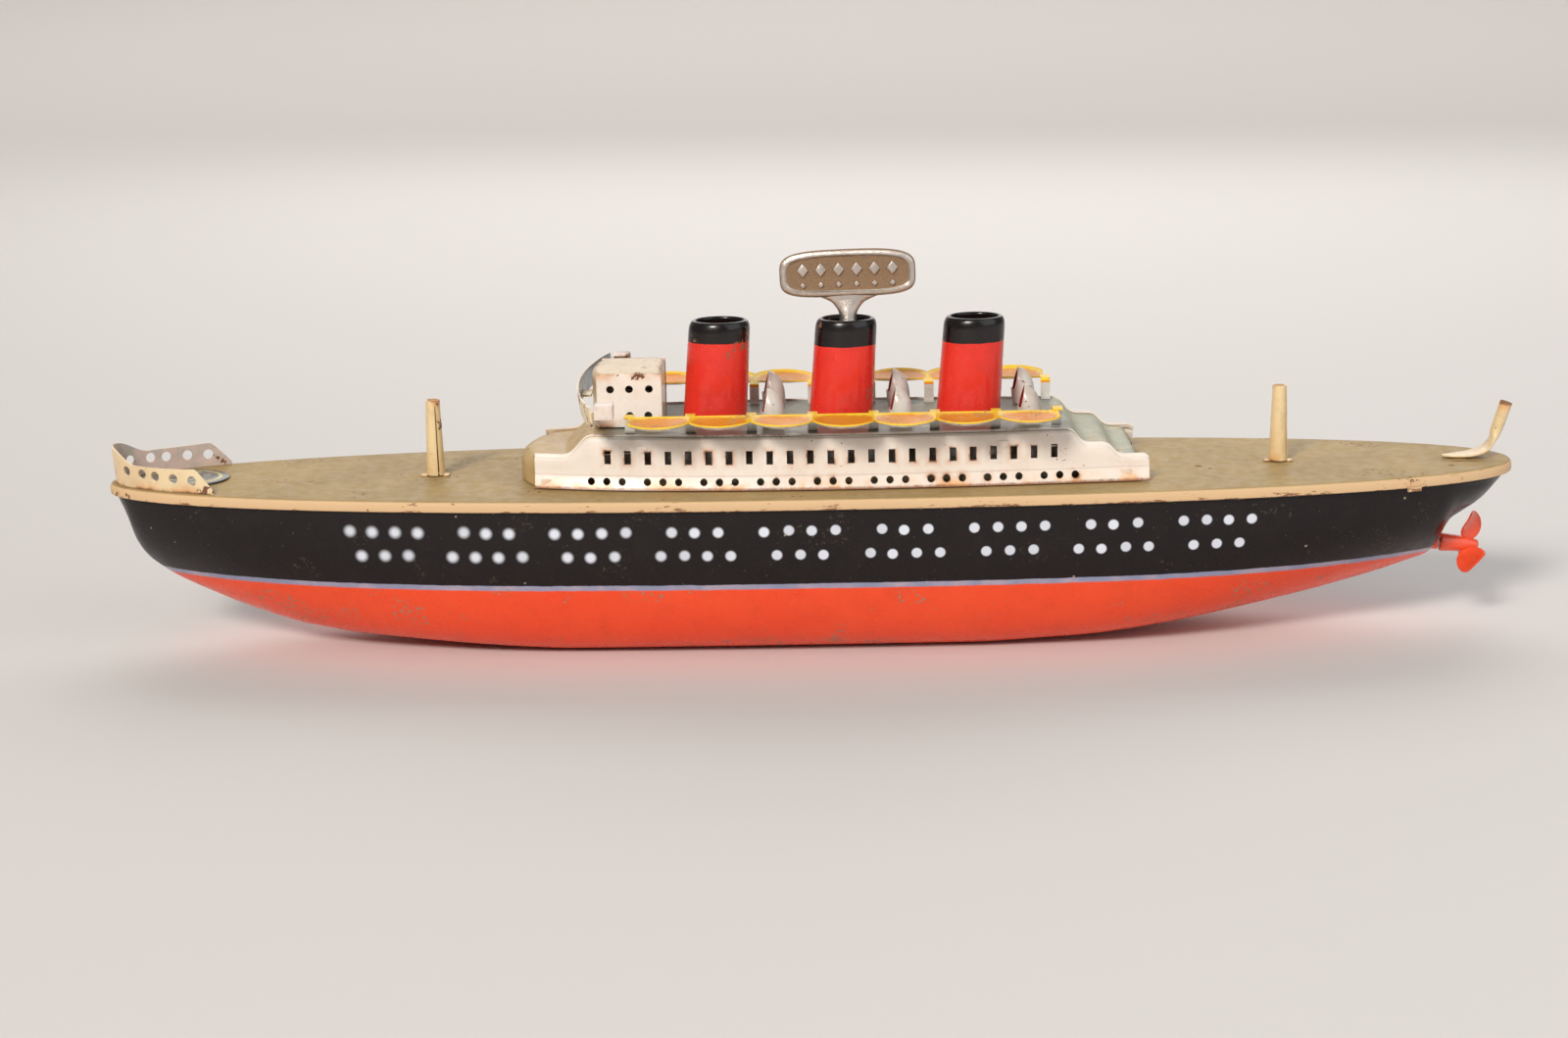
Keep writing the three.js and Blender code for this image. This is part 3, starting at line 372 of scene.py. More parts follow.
def newGroup(name, inputs, outputs):
    # A node group with float inputs, or a vector or colour where the name says so.
    kinds = {"Place": "NodeSocketVector", "Color": "NodeSocketColor", "Normal": "NodeSocketVector"}
    group = bpy.data.node_groups.new(name, "ShaderNodeTree")
    for label, start in inputs:
        kind = kinds.get(label.split()[0], "NodeSocketFloat")
        socket = group.interface.new_socket(name=label, in_out="INPUT", socket_type=kind)
        if start is not None:
            socket.default_value = start
    for label in outputs:
        kind = kinds.get(label.split()[0], "NodeSocketFloat")
        group.interface.new_socket(name=label, in_out="OUTPUT", socket_type=kind)
    return group, group.nodes.new("NodeGroupInput"), group.nodes.new("NodeGroupOutput")


def useGroup(tree, group, **values):
    node = tree.nodes.new("ShaderNodeGroup")
    node.node_tree = group
    for label, value in values.items():
        link(tree, value, node.inputs[label])
    return node.outputs


def makeChips():
    # Paint knocked off in small clusters: 1 where the metal shows.
    group, inside, out = newGroup("chips", [("Place", None), ("Size", 1.0), ("Amount", 0.5),
                                            ("Clumps", 12.0)], ["Mask"])
    place, size, amount, clumps = inside.outputs[:4]
    fine = noiseOf(group, place, over(group, 1.0, size), 3.0, 0.7)
    wide = noiseOf(group, moved(group, place, (31, 7, 3)), over(group, 1.0, clumps), 2.0, 0.5)
    gate = ramp(group, wide, 0.52, 0.66)
    level = minus(group, 0.82, times(group, amount, times(group, gate, 0.3)))
    mask = ramp(group, minus(group, fine, level), -0.01, 0.02)
    group.links.new(mask, out.inputs["Mask"])
    return group


def makeFreckles():
    # Small rust specks scattered at random: 1 on a speck.
    group, inside, out = newGroup("freckles", [("Place", None), ("Spacing", 3.0), ("Size", 0.2),
                                               ("Share", 0.3)], ["Mask"])
    place, spacing, size, share = inside.outputs[:4]
    cells = group.nodes.new("ShaderNodeTexVoronoi")
    group.links.new(place, cells.inputs["Vector"])
    group.links.new(over(group, 1.0, spacing), cells.inputs["Scale"])
    near = times(group, cells.outputs["Distance"], spacing)
    ragged = plus(group, near, times(group, noiseOf(group, place, 2.4, 2.0), 0.3))
    speck = minus(group, 1.0, ramp(group, minus(group, ragged, 0.15), size, times(group, size, 1.6)))
    parts = group.nodes.new("ShaderNodeSeparateColor")
    group.links.new(cells.outputs["Color"], parts.inputs[0])
    chosen = calc(group, "LESS_THAN", parts.outputs[0], share)
    group.links.new(times(group, speck, chosen), out.inputs["Mask"])
    return group


def makeTone():
    # A paint colour that drifts a little lighter, darker and dirtier over the surface.
    group, inside, out = newGroup("tone", [("Place", None), ("Color", None), ("Color Dirt", None),
                                           ("Amount", 0.5), ("Grime", 0.3)], ["Color"])
    place, color, dirt, amount, grime = inside.outputs[:5]
    slow = noiseOf(group, place, 0.045, 3.0, 0.6)
    lighter = blendColor(group, times(group, amount, 0.5), color, (1, 1, 1), "OVERLAY")
    toned = blendColor(group, ramp(group, slow, 0.35, 0.7), color, lighter)
    smear = times(group, grime, ramp(group, noiseOf(group, moved(group, place, (5, 9, 2)), 0.16, 4.0, 0.7),
                                     0.45, 0.75))
    group.links.new(blendColor(group, smear, toned, dirt), out.inputs["Color"])
    return group


def makeSkin():
    # The faint orange peel and dents of enamel on thin sheet, as a height.
    group, inside, out = newGroup("skin", [("Place", None), ("Peel", 1.0), ("Dents", 1.0)], ["Height"])
    place, peel, dents = inside.outputs[:3]
    fine = times(group, noiseOf(group, place, 1.3, 2.0, 0.5), peel)
    wide = times(group, noiseOf(group, moved(group, place, (3, 8, 1)), 0.07, 1.0, 0.4),
                 times(group, dents, 8.0))
    group.links.new(plus(group, fine, wide), out.inputs["Height"])
    return group


chips = makeChips()
freckles = makeFreckles()
tone = makeTone()
skin = makeSkin()

rust = (0.24, 0.085, 0.035)
grime = (0.16, 0.12, 0.08)


def newMaterial(name):
    material = bpy.data.materials.new(name)
    material.use_nodes = True
    tree = material.node_tree
    return material, tree, tree.nodes["Principled BSDF"]


def dress(tree, shader, color, place, roughness=0.3, worn=None, coat=0.15, peel=0.006, dents=1.0):
    # Colour, gloss and bump of one enamelled sheet. worn is the mask of bare or rusty places, and on the deck also of
    # two painted shadow lines beside the flagstaff's foot.
    link(tree, color, shader.inputs["Base Color"])
    gloss = ramp(tree, noiseOf(tree, place, 0.35, 3.0, 0.6), 0.3, 0.75, roughness * 0.8, roughness * 1.35)
    if worn is not None:
        gloss = plus(tree, gloss, times(tree, worn, 0.45), held=True)
    link(tree, gloss, shader.inputs["Roughness"])
    shader.inputs["Coat Weight"].default_value = coat
    shader.inputs["Coat Roughness"].default_value = 0.12
    height = useGroup(tree, skin, Place=place, Peel=1.0, Dents=dents)["Height"]
    if worn is not None:
        height = minus(tree, height, times(tree, worn, 2.5))
    bump = tree.nodes.new("ShaderNodeBump")
    bump.inputs["Strength"].default_value = 0.9
    bump.inputs["Distance"].default_value = peel * mm * 3
    tree.links.new(height, bump.inputs["Height"])
    tree.links.new(bump.outputs["Normal"], shader.inputs["Normal"])


def enamel(name, color, dirt=grime, roughness=0.3, specks=0.25, chipping=0.3, soiling=0.25, chipColor=rust,
           coat=0.25, rustLow=None, rustHigh=None, rustNear=1.0):
    # Enamelled tin of one colour, with specks, chips and rust along its lower or upper edge.
    material, tree, shader = newMaterial(name)
    place, *_, z = objectPlace(tree)
    painted = useGroup(tree, tone, Place=place, Color=color, **{"Color Dirt": dirt}, Amount=0.4,
                       Grime=soiling)["Color"]
    speck = useGroup(tree, freckles, Place=place, Spacing=2.6, Size=0.16, Share=specks)["Mask"]
    chip = useGroup(tree, chips, Place=place, Size=1.1, Amount=chipping, Clumps=11.0)["Mask"]
    worn = most(tree, times(tree, speck, 0.8), chip)
    ragged = noiseOf(tree, place, 0.45, 4.0, 0.75)
    for edge, away in ((rustLow, 1.0), (rustHigh, -1.0)):
        if edge is None:
            continue
        distance = times(tree, minus(tree, z, edge), away)
        reach = times(tree, ragged, 3.4 * rustNear)
        near = ramp(tree, minus(tree, distance, minus(tree, reach, 1.3 * rustNear)), -0.35, 0.35, 1.0, 0.0)
        patchy = ramp(tree, noiseOf(tree, moved(tree, place, (2, 4, 8)), 0.13, 3.0, 0.6), 0.44, 0.6)
        worn = most(tree, worn, times(tree, times(tree, near, patchy), 0.85))
        halo = ramp(tree, distance, 0.0, 2.4, 0.75, 0.0)
        painted = blendColor(tree, times(tree, halo, patchy), painted, (0.72, 0.34, 0.12))
    rusty = blendColor(tree, noiseOf(tree, place, 1.9, 3.0), chipColor,
                       tuple(part * 0.45 for part in chipColor))
    dress(tree, shader, blendColor(tree, worn, painted, rusty), place, roughness, worn, coat)
    return material


def metal(name, color, roughness=0.35, tarnish=0.3):
    material, tree, shader = newMaterial(name)
    place = objectPlace(tree)[0]
    dull = ramp(tree, noiseOf(tree, moved(tree, place, (1, 2, 3)), 0.5, 5.0, 0.7), 0.35, 0.75)
    link(tree, blendColor(tree, times(tree, dull, tarnish), color, tuple(part * 0.35 for part in color)),
         shader.inputs["Base Color"])
    shader.inputs["Metallic"].default_value = 1.0
    link(tree, ramp(tree, dull, 0.0, 1.0, roughness * 0.7, roughness * 1.5), shader.inputs["Roughness"])
    bump = tree.nodes.new("ShaderNodeBump")
    bump.inputs["Strength"].default_value = 0.3
    bump.inputs["Distance"].default_value = 0.02 * mm
    tree.links.new(noiseOf(tree, moved(tree, place, (4, 1, 2)), 3.0, 3.0), bump.inputs["Height"])
    tree.links.new(bump.outputs["Normal"], shader.inputs["Normal"])
    return material


steelFinish = metal("plainSteel", (0.46, 0.46, 0.47), 0.32, 0.5)
brassFinish = metal("plainBrass", (0.66, 0.46, 0.19), 0.3, 0.45)
springFinish = metal("bluedSpring", (0.10, 0.12, 0.20), 0.28, 0.3)


bluntness = {"bow": (2.0, 2.2), "stern": (2.15, 2.6)}  # how full the tip and the shoulder of each end are


def deckHalfWidth(x):
    tip, shoulder = bluntness["bow" if x < 0 else "stern"]
    return halfBeam * (1 - clamp(abs(x) / halfLength) ** shoulder) ** (1 / tip)


def deckEdge(share, setIn):
    # A point of one side's deck edge, moved in square to itself; share runs from bow to stern.
    run = -cos(pi * share)
    x = halfLength * (abs(run) ** 0.8) * (1 if run > 0 else -1)
    if share <= 0 or share >= 1:
        return Vector((x + (setIn if share <= 0 else -setIn), 0))
    before, after = max(x - 0.02, -halfLength), min(x + 0.02, halfLength)
    along = Vector((after - before, deckHalfWidth(after) - deckHalfWidth(before))).normalized()
    return Vector((x + along.y * setIn, deckHalfWidth(x) - along.x * setIn))


hullShape = {
    "underBead": 1.2, "topEdge": 0.9, "seam": 0.15, "flatShare": 0.3, "thickness": 0.45,
    "keel": [(-0.994, 0.935), (-0.978, 0.79), (-0.968, 0.626), (-0.953, 0.535), (-0.919, 0.427), (-0.870, 0.328),
             (-0.82, 0.24), (-0.74, 0.132), (-0.656, 0.078), (-0.488, 0.032), (-0.36, 0.0), (0.245, 0.0),
             (0.394, 0.033), (0.478, 0.076), (0.562, 0.126), (0.646, 0.184), (0.73, 0.248), (0.814, 0.328),
             (0.883, 0.418), (0.893, 0.46), (0.9, 0.53), (0.911, 0.62), (0.93, 0.67), (0.956, 0.737), (0.994, 0.925)],
}
keelLine = rounded([(x * halfLength, z * deckTop) for x, z in hullShape["keel"]], 4.0)


def hullPoint(share, rise):
    # A point of the starboard hull: share runs from bow to stern, rise from keel to deck.
    edge = deckEdge(mix(0.012, 0.988, share), hullShape["underBead"])
    x, seam = edge.x, hullShape["seam"]
    top = deckTop - hullShape["topEdge"]
    low = min(heightAt(keelLine, x), top - 0.8)
    fullness = smooth(halfLength - abs(x), 4, 90)
    width = max(edge.y - seam, 0.3)
    flat = min(hullShape["flatShare"] * width * fullness, width * 0.9)
    flatPart = 0.12
    if rise < flatPart:
        return (x, seam + flat * rise / flatPart, low)
    angle = pi / 2 * (rise - flatPart) / (1 - flatPart)
    y = seam + flat + (width - flat) * sin(angle) ** mix(1.5, 0.85, fullness)
    z = low + (top - low) * (1 - max(cos(angle), 0) ** mix(1.0, 0.85, fullness))
    fold = 0.25 * smooth(x, 108, 130) * smooth(y, 0.4, 2) * (1 - smooth(z, 33.6, 34.0))
    return (x, y - fold + 0.1 * wobble(x, y, z, 0.045) * smooth(z, 2, 8), z)


portRows = {"first": -2.4, "groupPitch": 22.3, "dotPitch": 5.0, "upper": 30.1, "lower": 24.75, "radius": 1.12}
waterline = {"low": 17.0, "high": 18.05}


def makeDotRow():
    # One row of airbrushed portholes: groups that have four dots and three dots by turns.
    group, inside, out = newGroup("dotRow", [("Place", None), ("Row", 30.0), ("Odd", 0.0)], ["Mask"])
    place, row, odd = inside.outputs[:3]
    parts = group.nodes.new("ShaderNodeSeparateXYZ")
    group.links.new(place, parts.inputs[0])
    x = minus(group, parts.outputs[0], portRows["first"])
    number = calc(group, "ROUND", over(group, x, portRows["groupPitch"]))
    local = minus(group, x, times(group, number, portRows["groupPitch"]))
    parity = calc(group, "FLOORED_MODULO", plus(group, number, odd), 2.0)
    four = minus(group, 1.0, parity)
    shift = times(group, four, portRows["dotPitch"] / 2)
    step = calc(group, "ROUND", over(group, minus(group, local, shift), portRows["dotPitch"]))
    middle = plus(group, times(group, step, portRows["dotPitch"]), shift)
    across = minus(group, local, middle)
    below = minus(group, parts.outputs[2], row)
    each = group.nodes.new("ShaderNodeTexWhiteNoise")
    each.noise_dimensions = "2D"
    seed = group.nodes.new("ShaderNodeCombineXYZ")
    group.links.new(plus(group, times(group, number, 7.0), step), seed.inputs[0])
    group.links.new(row, seed.inputs[1])
    group.links.new(seed.outputs[0], each.inputs["Vector"])
    chance = each.outputs["Value"]
    drift = times(group, minus(group, chance, 0.5), 0.35)
    distance = calc(group, "SQRT", plus(group, calc(group, "POWER", plus(group, across, drift), 2.0),
                                        calc(group, "POWER", plus(group, below, drift), 2.0)))
    forward = ramp(group, x, -95.0, 20.0)
    soft = plus(group, times(group, minus(group, 1.0, forward), 0.45), 0.16)
    radius = portRows["radius"]
    dot = ramp(group, distance, minus(group, radius - 0.06, soft), plus(group, radius, soft), 1.0, 0.0)
    withinGroup = calc(group, "LESS_THAN", calc(group, "ABSOLUTE", middle),
                       plus(group, times(group, four, 2.6), 5.1))
    withinRow = calc(group, "LESS_THAN", calc(group, "ABSOLUTE", number), 4.5)
    mask = times(group, dot, times(group, withinGroup, withinRow))
    group.links.new(times(group, mask, ramp(group, chance, 0.0, 1.0, 0.86, 1.0)), out.inputs["Mask"])
    return group


def hullFinish():
    material, tree, shader = newMaterial("hullEnamel")
    place, x, y, z = objectPlace(tree)
    dotRow = makeDotRow()
    edgeNoise = times(tree, minus(tree, noiseOf(tree, place, 0.3, 3.0), 0.5), 0.35)
    height = plus(tree, z, edgeNoise)
    black = useGroup(tree, tone, Place=place, Color=(0.009, 0.006, 0.006),
                     **{"Color Dirt": (0.02, 0.013, 0.012)}, Amount=0.3, Grime=0.35)["Color"]
    red = useGroup(tree, tone, Place=place, Color=(0.88, 0.075, 0.022), **{"Color Dirt": (0.60, 0.055, 0.02)},
                   Amount=0.3, Grime=0.25)["Color"]
    dust = useGroup(tree, freckles, Place=place, Spacing=0.9, Size=0.05, Share=0.25)["Mask"]
    color = blendColor(tree, times(tree, dust, 0.35), black, (0.4, 0.36, 0.34))
    for row, odd in (("upper", 0.0), ("lower", 1.0)):
        dots = useGroup(tree, dotRow, Place=place, Row=portRows[row], Odd=odd)["Mask"]
        color = blendColor(tree, dots, color, (0.72, 0.75, 0.83))
    stripe = blendColor(tree, ramp(tree, noiseOf(tree, place, 0.12, 4.0), 0.4, 0.7), (0.27, 0.29, 0.42),
                        (0.46, 0.38, 0.46))
    color = blendColor(tree, ramp(tree, height, waterline["high"] - 0.1, waterline["high"] + 0.1, 1.0, 0.0),
                       color, stripe)
    color = blendColor(tree, ramp(tree, height, waterline["low"] - 0.3, waterline["low"] + 0.1, 1.0, 0.0),
                       color, red)
    below = ramp(tree, z, waterline["low"] - 1.0, waterline["high"] + 0.4, 0.85, 0.12)
    stretched = moved(tree, place, (0, 0, 0), (1.0, 1.0, 1.7))
    chip = useGroup(tree, chips, Place=stretched, Size=1.15, Amount=times(tree, below, 0.95),
                    Clumps=15.0)["Mask"]
    small = useGroup(tree, chips, Place=moved(tree, place, (40, 5, 9)), Size=0.8, Amount=0.8,
                     Clumps=9.0)["Mask"]
    speck = useGroup(tree, freckles, Place=place, Spacing=7.0, Size=0.22, Share=0.35)["Mask"]
    seam = ramp(tree, calc(tree, "ABSOLUTE", y), 0.35, 0.75, 0.8, 0.0)
    seam = times(tree, seam, ramp(tree, noiseOf(tree, place, 0.5, 3.0), 0.35, 0.55))
    underBead = ramp(tree, plus(tree, z, times(tree, noiseOf(tree, place, 0.4, 4.0, 0.7), 2.6)), 35.9, 36.3,
                     0.0, 0.75)
    worn = most(tree, most(tree, chip, times(tree, small, below)), most(tree, speck, seam))
    worn = most(tree, worn, underBead)
    tin = blendColor(tree, noiseOf(tree, place, 2.2, 3.0), (0.42, 0.34, 0.24), (0.20, 0.15, 0.10))
    post = times(tree, calc(tree, "LESS_THAN", calc(tree, "ABSOLUTE", y), 0.95),
                 times(tree, calc(tree, "GREATER_THAN", x, 136.0), calc(tree, "LESS_THAN", z, 28.5)))
    color = blendColor(tree, post, color, red)
    dress(tree, shader, blendColor(tree, worn, color, tin), place, 0.3, worn, 0.1, dents=1.4)
    shader.inputs["Specular IOR Level"].default_value = 0.25
    return material


def hullInside(share, rise):
    # The inner face of the starboard hull, which meets the outer one at both ends.
    x, y, z = hullPoint(share, rise)
    width = max(deckHalfWidth(x), 1)
    inset = hullShape["thickness"] * smooth(width, 2.2, 5)
    seam = hullShape["seam"]
    top = deckTop - hullShape["topEdge"]
    low = hullPoint(share, 0)[2]
    return (x, seam + (y - seam) * (1 - inset / width), z + inset * (top - z) / max(top - low, 0.1))


def makeHull():
    finish = hullFinish()
    rows = 40
    for side, name in ((1, "starboard"), (-1, "port")):
        bm = bmesh.new()

        def place(u, v):
            row = round(v * (2 * rows + 2))
            if row <= rows:
                x, y, z = hullPoint(u, row / rows)
            elif row <= 2 * rows + 1:
                x, y, z = hullInside(u, (2 * rows + 1 - row) / rows)
            else:
                x, y, z = hullPoint(u, 0)
            return (x, y * side, z)
        sheet(bm, 190, 2 * rows + 2, place)
        weld(bm)
        outward(bm)
        finishPiece(bm, name + "HullHalf", [finish], stands=[name + "_hull_half"],
                    angle=50)


makeHull()
print("hull is made")


deckShape = {
    "bead": [(0.95, -0.6), (0.95, -2.4), (0.3, -2.4), (0.05, -2.2), (0.0, -1.8), (0.0, -0.9), (0.12, -0.45),
             (0.42, -0.12), (0.9, 0.0), (1.5, 0.0)],
    "holeRadius": 2.5, "buckle": (143.0, 0.0, 9.0, 0.45), "tabs": [(128.3, 131.3, 0.55)],
    # middle x and y, half length, half width and turn of each mark: the first two are painted shadow lines along the
    # near and far edges of the flagstaff's foot, the rest bare nicks
    "nicksAndFootShadows": [(142.6, -3.4, 4.6, 0.3, -0.12), (147.5, 3.6, 3.2, 0.3, 0.1), (140.2, -7.4, 0.8, 0.6, 0.2), (85.3, -4.0, 0.9, 0.8, 0.6),
              (87.4, -6.6, 0.6, 0.5, 0.0)],
}


def deckFinish():
    material, tree, shader = newMaterial("deckEnamel")
    place, x, y, z = objectPlace(tree)
    khaki = useGroup(tree, tone, Place=place, Color=(0.365, 0.255, 0.11),
                     **{"Color Dirt": (0.31, 0.21, 0.09)}, Amount=0.35, Grime=0.35)["Color"]
    pale = (0.68, 0.46, 0.26)
    bead = ramp(tree, plus(tree, z, times(tree, noiseOf(tree, place, 0.5), 0.12)), deckTop - 0.22,
                deckTop - 0.02, 1.0, 0.0)
    color = blendColor(tree, bead, khaki, pale)
    streaks = noiseOf(tree, moved(tree, place, (0, 3, 0), (0.25, 1, 1)), 0.5, 4.0, 0.75)
    lowEdge = ramp(tree, z, deckTop - 2.4, deckTop - 1.5, 0.10, 0.0)
    chip = times(tree, bead, ramp(tree, plus(tree, streaks, lowEdge), 0.60, 0.66))
    speck = useGroup(tree, freckles, Place=place, Spacing=6.5, Size=0.2, Share=0.3)["Mask"]
    patch = useGroup(tree, chips, Place=place, Size=1.2, Amount=0.75, Clumps=14.0)["Mask"]
    worn = most(tree, most(tree, times(tree, chip, 0.85), speck), patch)
    ragged = times(tree, minus(tree, noiseOf(tree, place, 1.1, 3.0), 0.5), 1.3)
    # the first two marks are painted shadow lines beside the flagstaff's foot, laid in dark brown like the bare nicks
    for markX, markY, long, wide, turn in deckShape["nicksAndFootShadows"]:
        alongX = minus(tree, x, markX)
        alongY = minus(tree, y, markY)
        along = plus(tree, times(tree, alongX, cos(turn)), times(tree, alongY, sin(turn)))
        across = minus(tree, times(tree, alongY, cos(turn)), times(tree, alongX, sin(turn)))
        reach = plus(tree, calc(tree, "POWER", over(tree, along, long), 2.0),
                     calc(tree, "POWER", over(tree, plus(tree, across, times(tree, ragged, 0.4)), wide), 2.0))
        worn = most(tree, worn, ramp(tree, plus(tree, reach, ragged), 0.6, 1.1, 0.9, 0.0))
    brown = blendColor(tree, noiseOf(tree, place, 1.2, 3.0), (0.33, 0.15, 0.07), (0.12, 0.05, 0.03))
    dress(tree, shader, blendColor(tree, worn, color, brown), place, 0.45, worn, 0.0, peel=0.004)
    shader.inputs["Specular IOR Level"].default_value = 0.12
    return material


def deckBulge(x, y):
    # The sheet is crowned, and buckled where the staff's foot was bent over.
    centreX, centreY, reach, rise = deckShape["buckle"]
    near = hypot(x - centreX, y - centreY) / reach
    buckle = rise * clamp(1 - near) ** 2 * (0.5 + wobble(x, y, 0, 0.35))
    crease = -0.25 * clamp(1 - abs(x - 139.5 + y * 0.6) / 2.2) * clamp(1 - abs(y + 2) / 7)
    return buckle + crease + 0.12 * wobble(x, y, 0, 0.02, 4)


def deckPoint(u, v):
    # u runs round the deck's edge, v from the middle underneath round the bead to the middle on top.
    profile = deckShape["bead"]
    share = u * 2 if u <= 0.5 else 2 - u * 2
    side = 1 if u <= 0.5 else -1
    place = v * (len(profile) + 17)
    if place <= 2:
        edge = deckEdge(share, profile[0][0])
        reach = place / 2
        return (edge.x, edge.y * side * reach, deckTop + profile[0][1])
    index = place - 2
    if index <= len(profile) - 1:
        low = min(int(index), len(profile) - 2)
        setIn = mix(profile[low][0], profile[low + 1][0], index - low)
        drop = mix(profile[low][1], profile[low + 1][1], index - low)
        edge = deckEdge(share, setIn)
        return (edge.x, edge.y * side, deckTop + drop)
    reach = 1 - (index - len(profile) + 1) / 16
    edge = deckEdge(share, profile[-1][0])
    y = edge.y * side * clamp(reach)
    return (edge.x, y, deckTop + deckBulge(edge.x, y) * smooth(1 - reach, 0, 0.25))


def makeDeck():
    bm = bmesh.new()
    sheet(bm, 400, len(deckShape["bead"]) + 17, deckPoint)
    weld(bm, 0.004)
    outward(bm)
    for start, end, drop in deckShape["tabs"]:
        y = -deckHalfWidth((start + end) / 2)
        turn = atan2(deckHalfWidth(end) - deckHalfWidth(start), start - end)
        place = Matrix.Translation(((start + end) / 2, y, deckTop - 2.4)) @ Matrix.Rotation(pi + turn, 4, "Z")
        block(bm, (-(end - start) / 2, -0.1, -drop), ((end - start) / 2, -0.6, 0.5), 0.1, matrix=place)
    cutter = bmesh.new()
    low, high = boxOf("winding_arbor")
    axis = (low + high) / 2
    rod(cutter, (axis.x, axis.y, deckTop - 3), (axis.x, axis.y, deckTop + 3), deckShape["holeRadius"], 24)
    return finishPiece(bm, "deckSheet", [deckFinish()], stands=["deck"], angle=40,
                       cutter=cutter)


makeDeck()
print("deck is made")


houseShape = {
    "front": houseLow.x, "halfWidth": 20.0, "flare": houseHigh.y - 20.0, "crease": 3.2, "flange": 1.5, "thickness": 0.4,
    "steps": [(0, 6.9), (7.4, 6.9), (11.6, 11.5), (115.7, 11.5), (118.3, 8.1), (123.7, 8.1), (125.9, 5.3),
              (131.8, 5.3), (132.5, 4.6)], "shoulder": 0.8,
    "windows": {"count": 23, "first": -43.5, "pitch": 4.36, "width": 1.4, "height": 2.95, "sill": 5.7},
    "portholes": {"groups": 9, "first": -43.8, "groupPitch": 12.17, "pitch": 3.37, "radius": 0.8, "height": 2.0},
    "tabs": [(-36.0, 9.5), (41.4, 9.5), (-57.1, 1.9), (67.9, 2.4)],
}
narrowing = {"widest": 5.0, "front": (6.2, 2.6), "back": (3.7, 1.7)}  # how far the sides come in, and how suddenly


def houseNarrowing(x):
    front, back = houseShape["front"], houseShape["front"] + houseShape["steps"][-1][0]
    amount, power = narrowing["front" if x < narrowing["widest"] else "back"]
    end = front if x < narrowing["widest"] else back
    return amount * clamp((x - narrowing["widest"]) / (end - narrowing["widest"])) ** power


wallTop = rounded([(houseShape["front"] + x, deckTop + z) for x, z in houseShape["steps"]], 1.6)


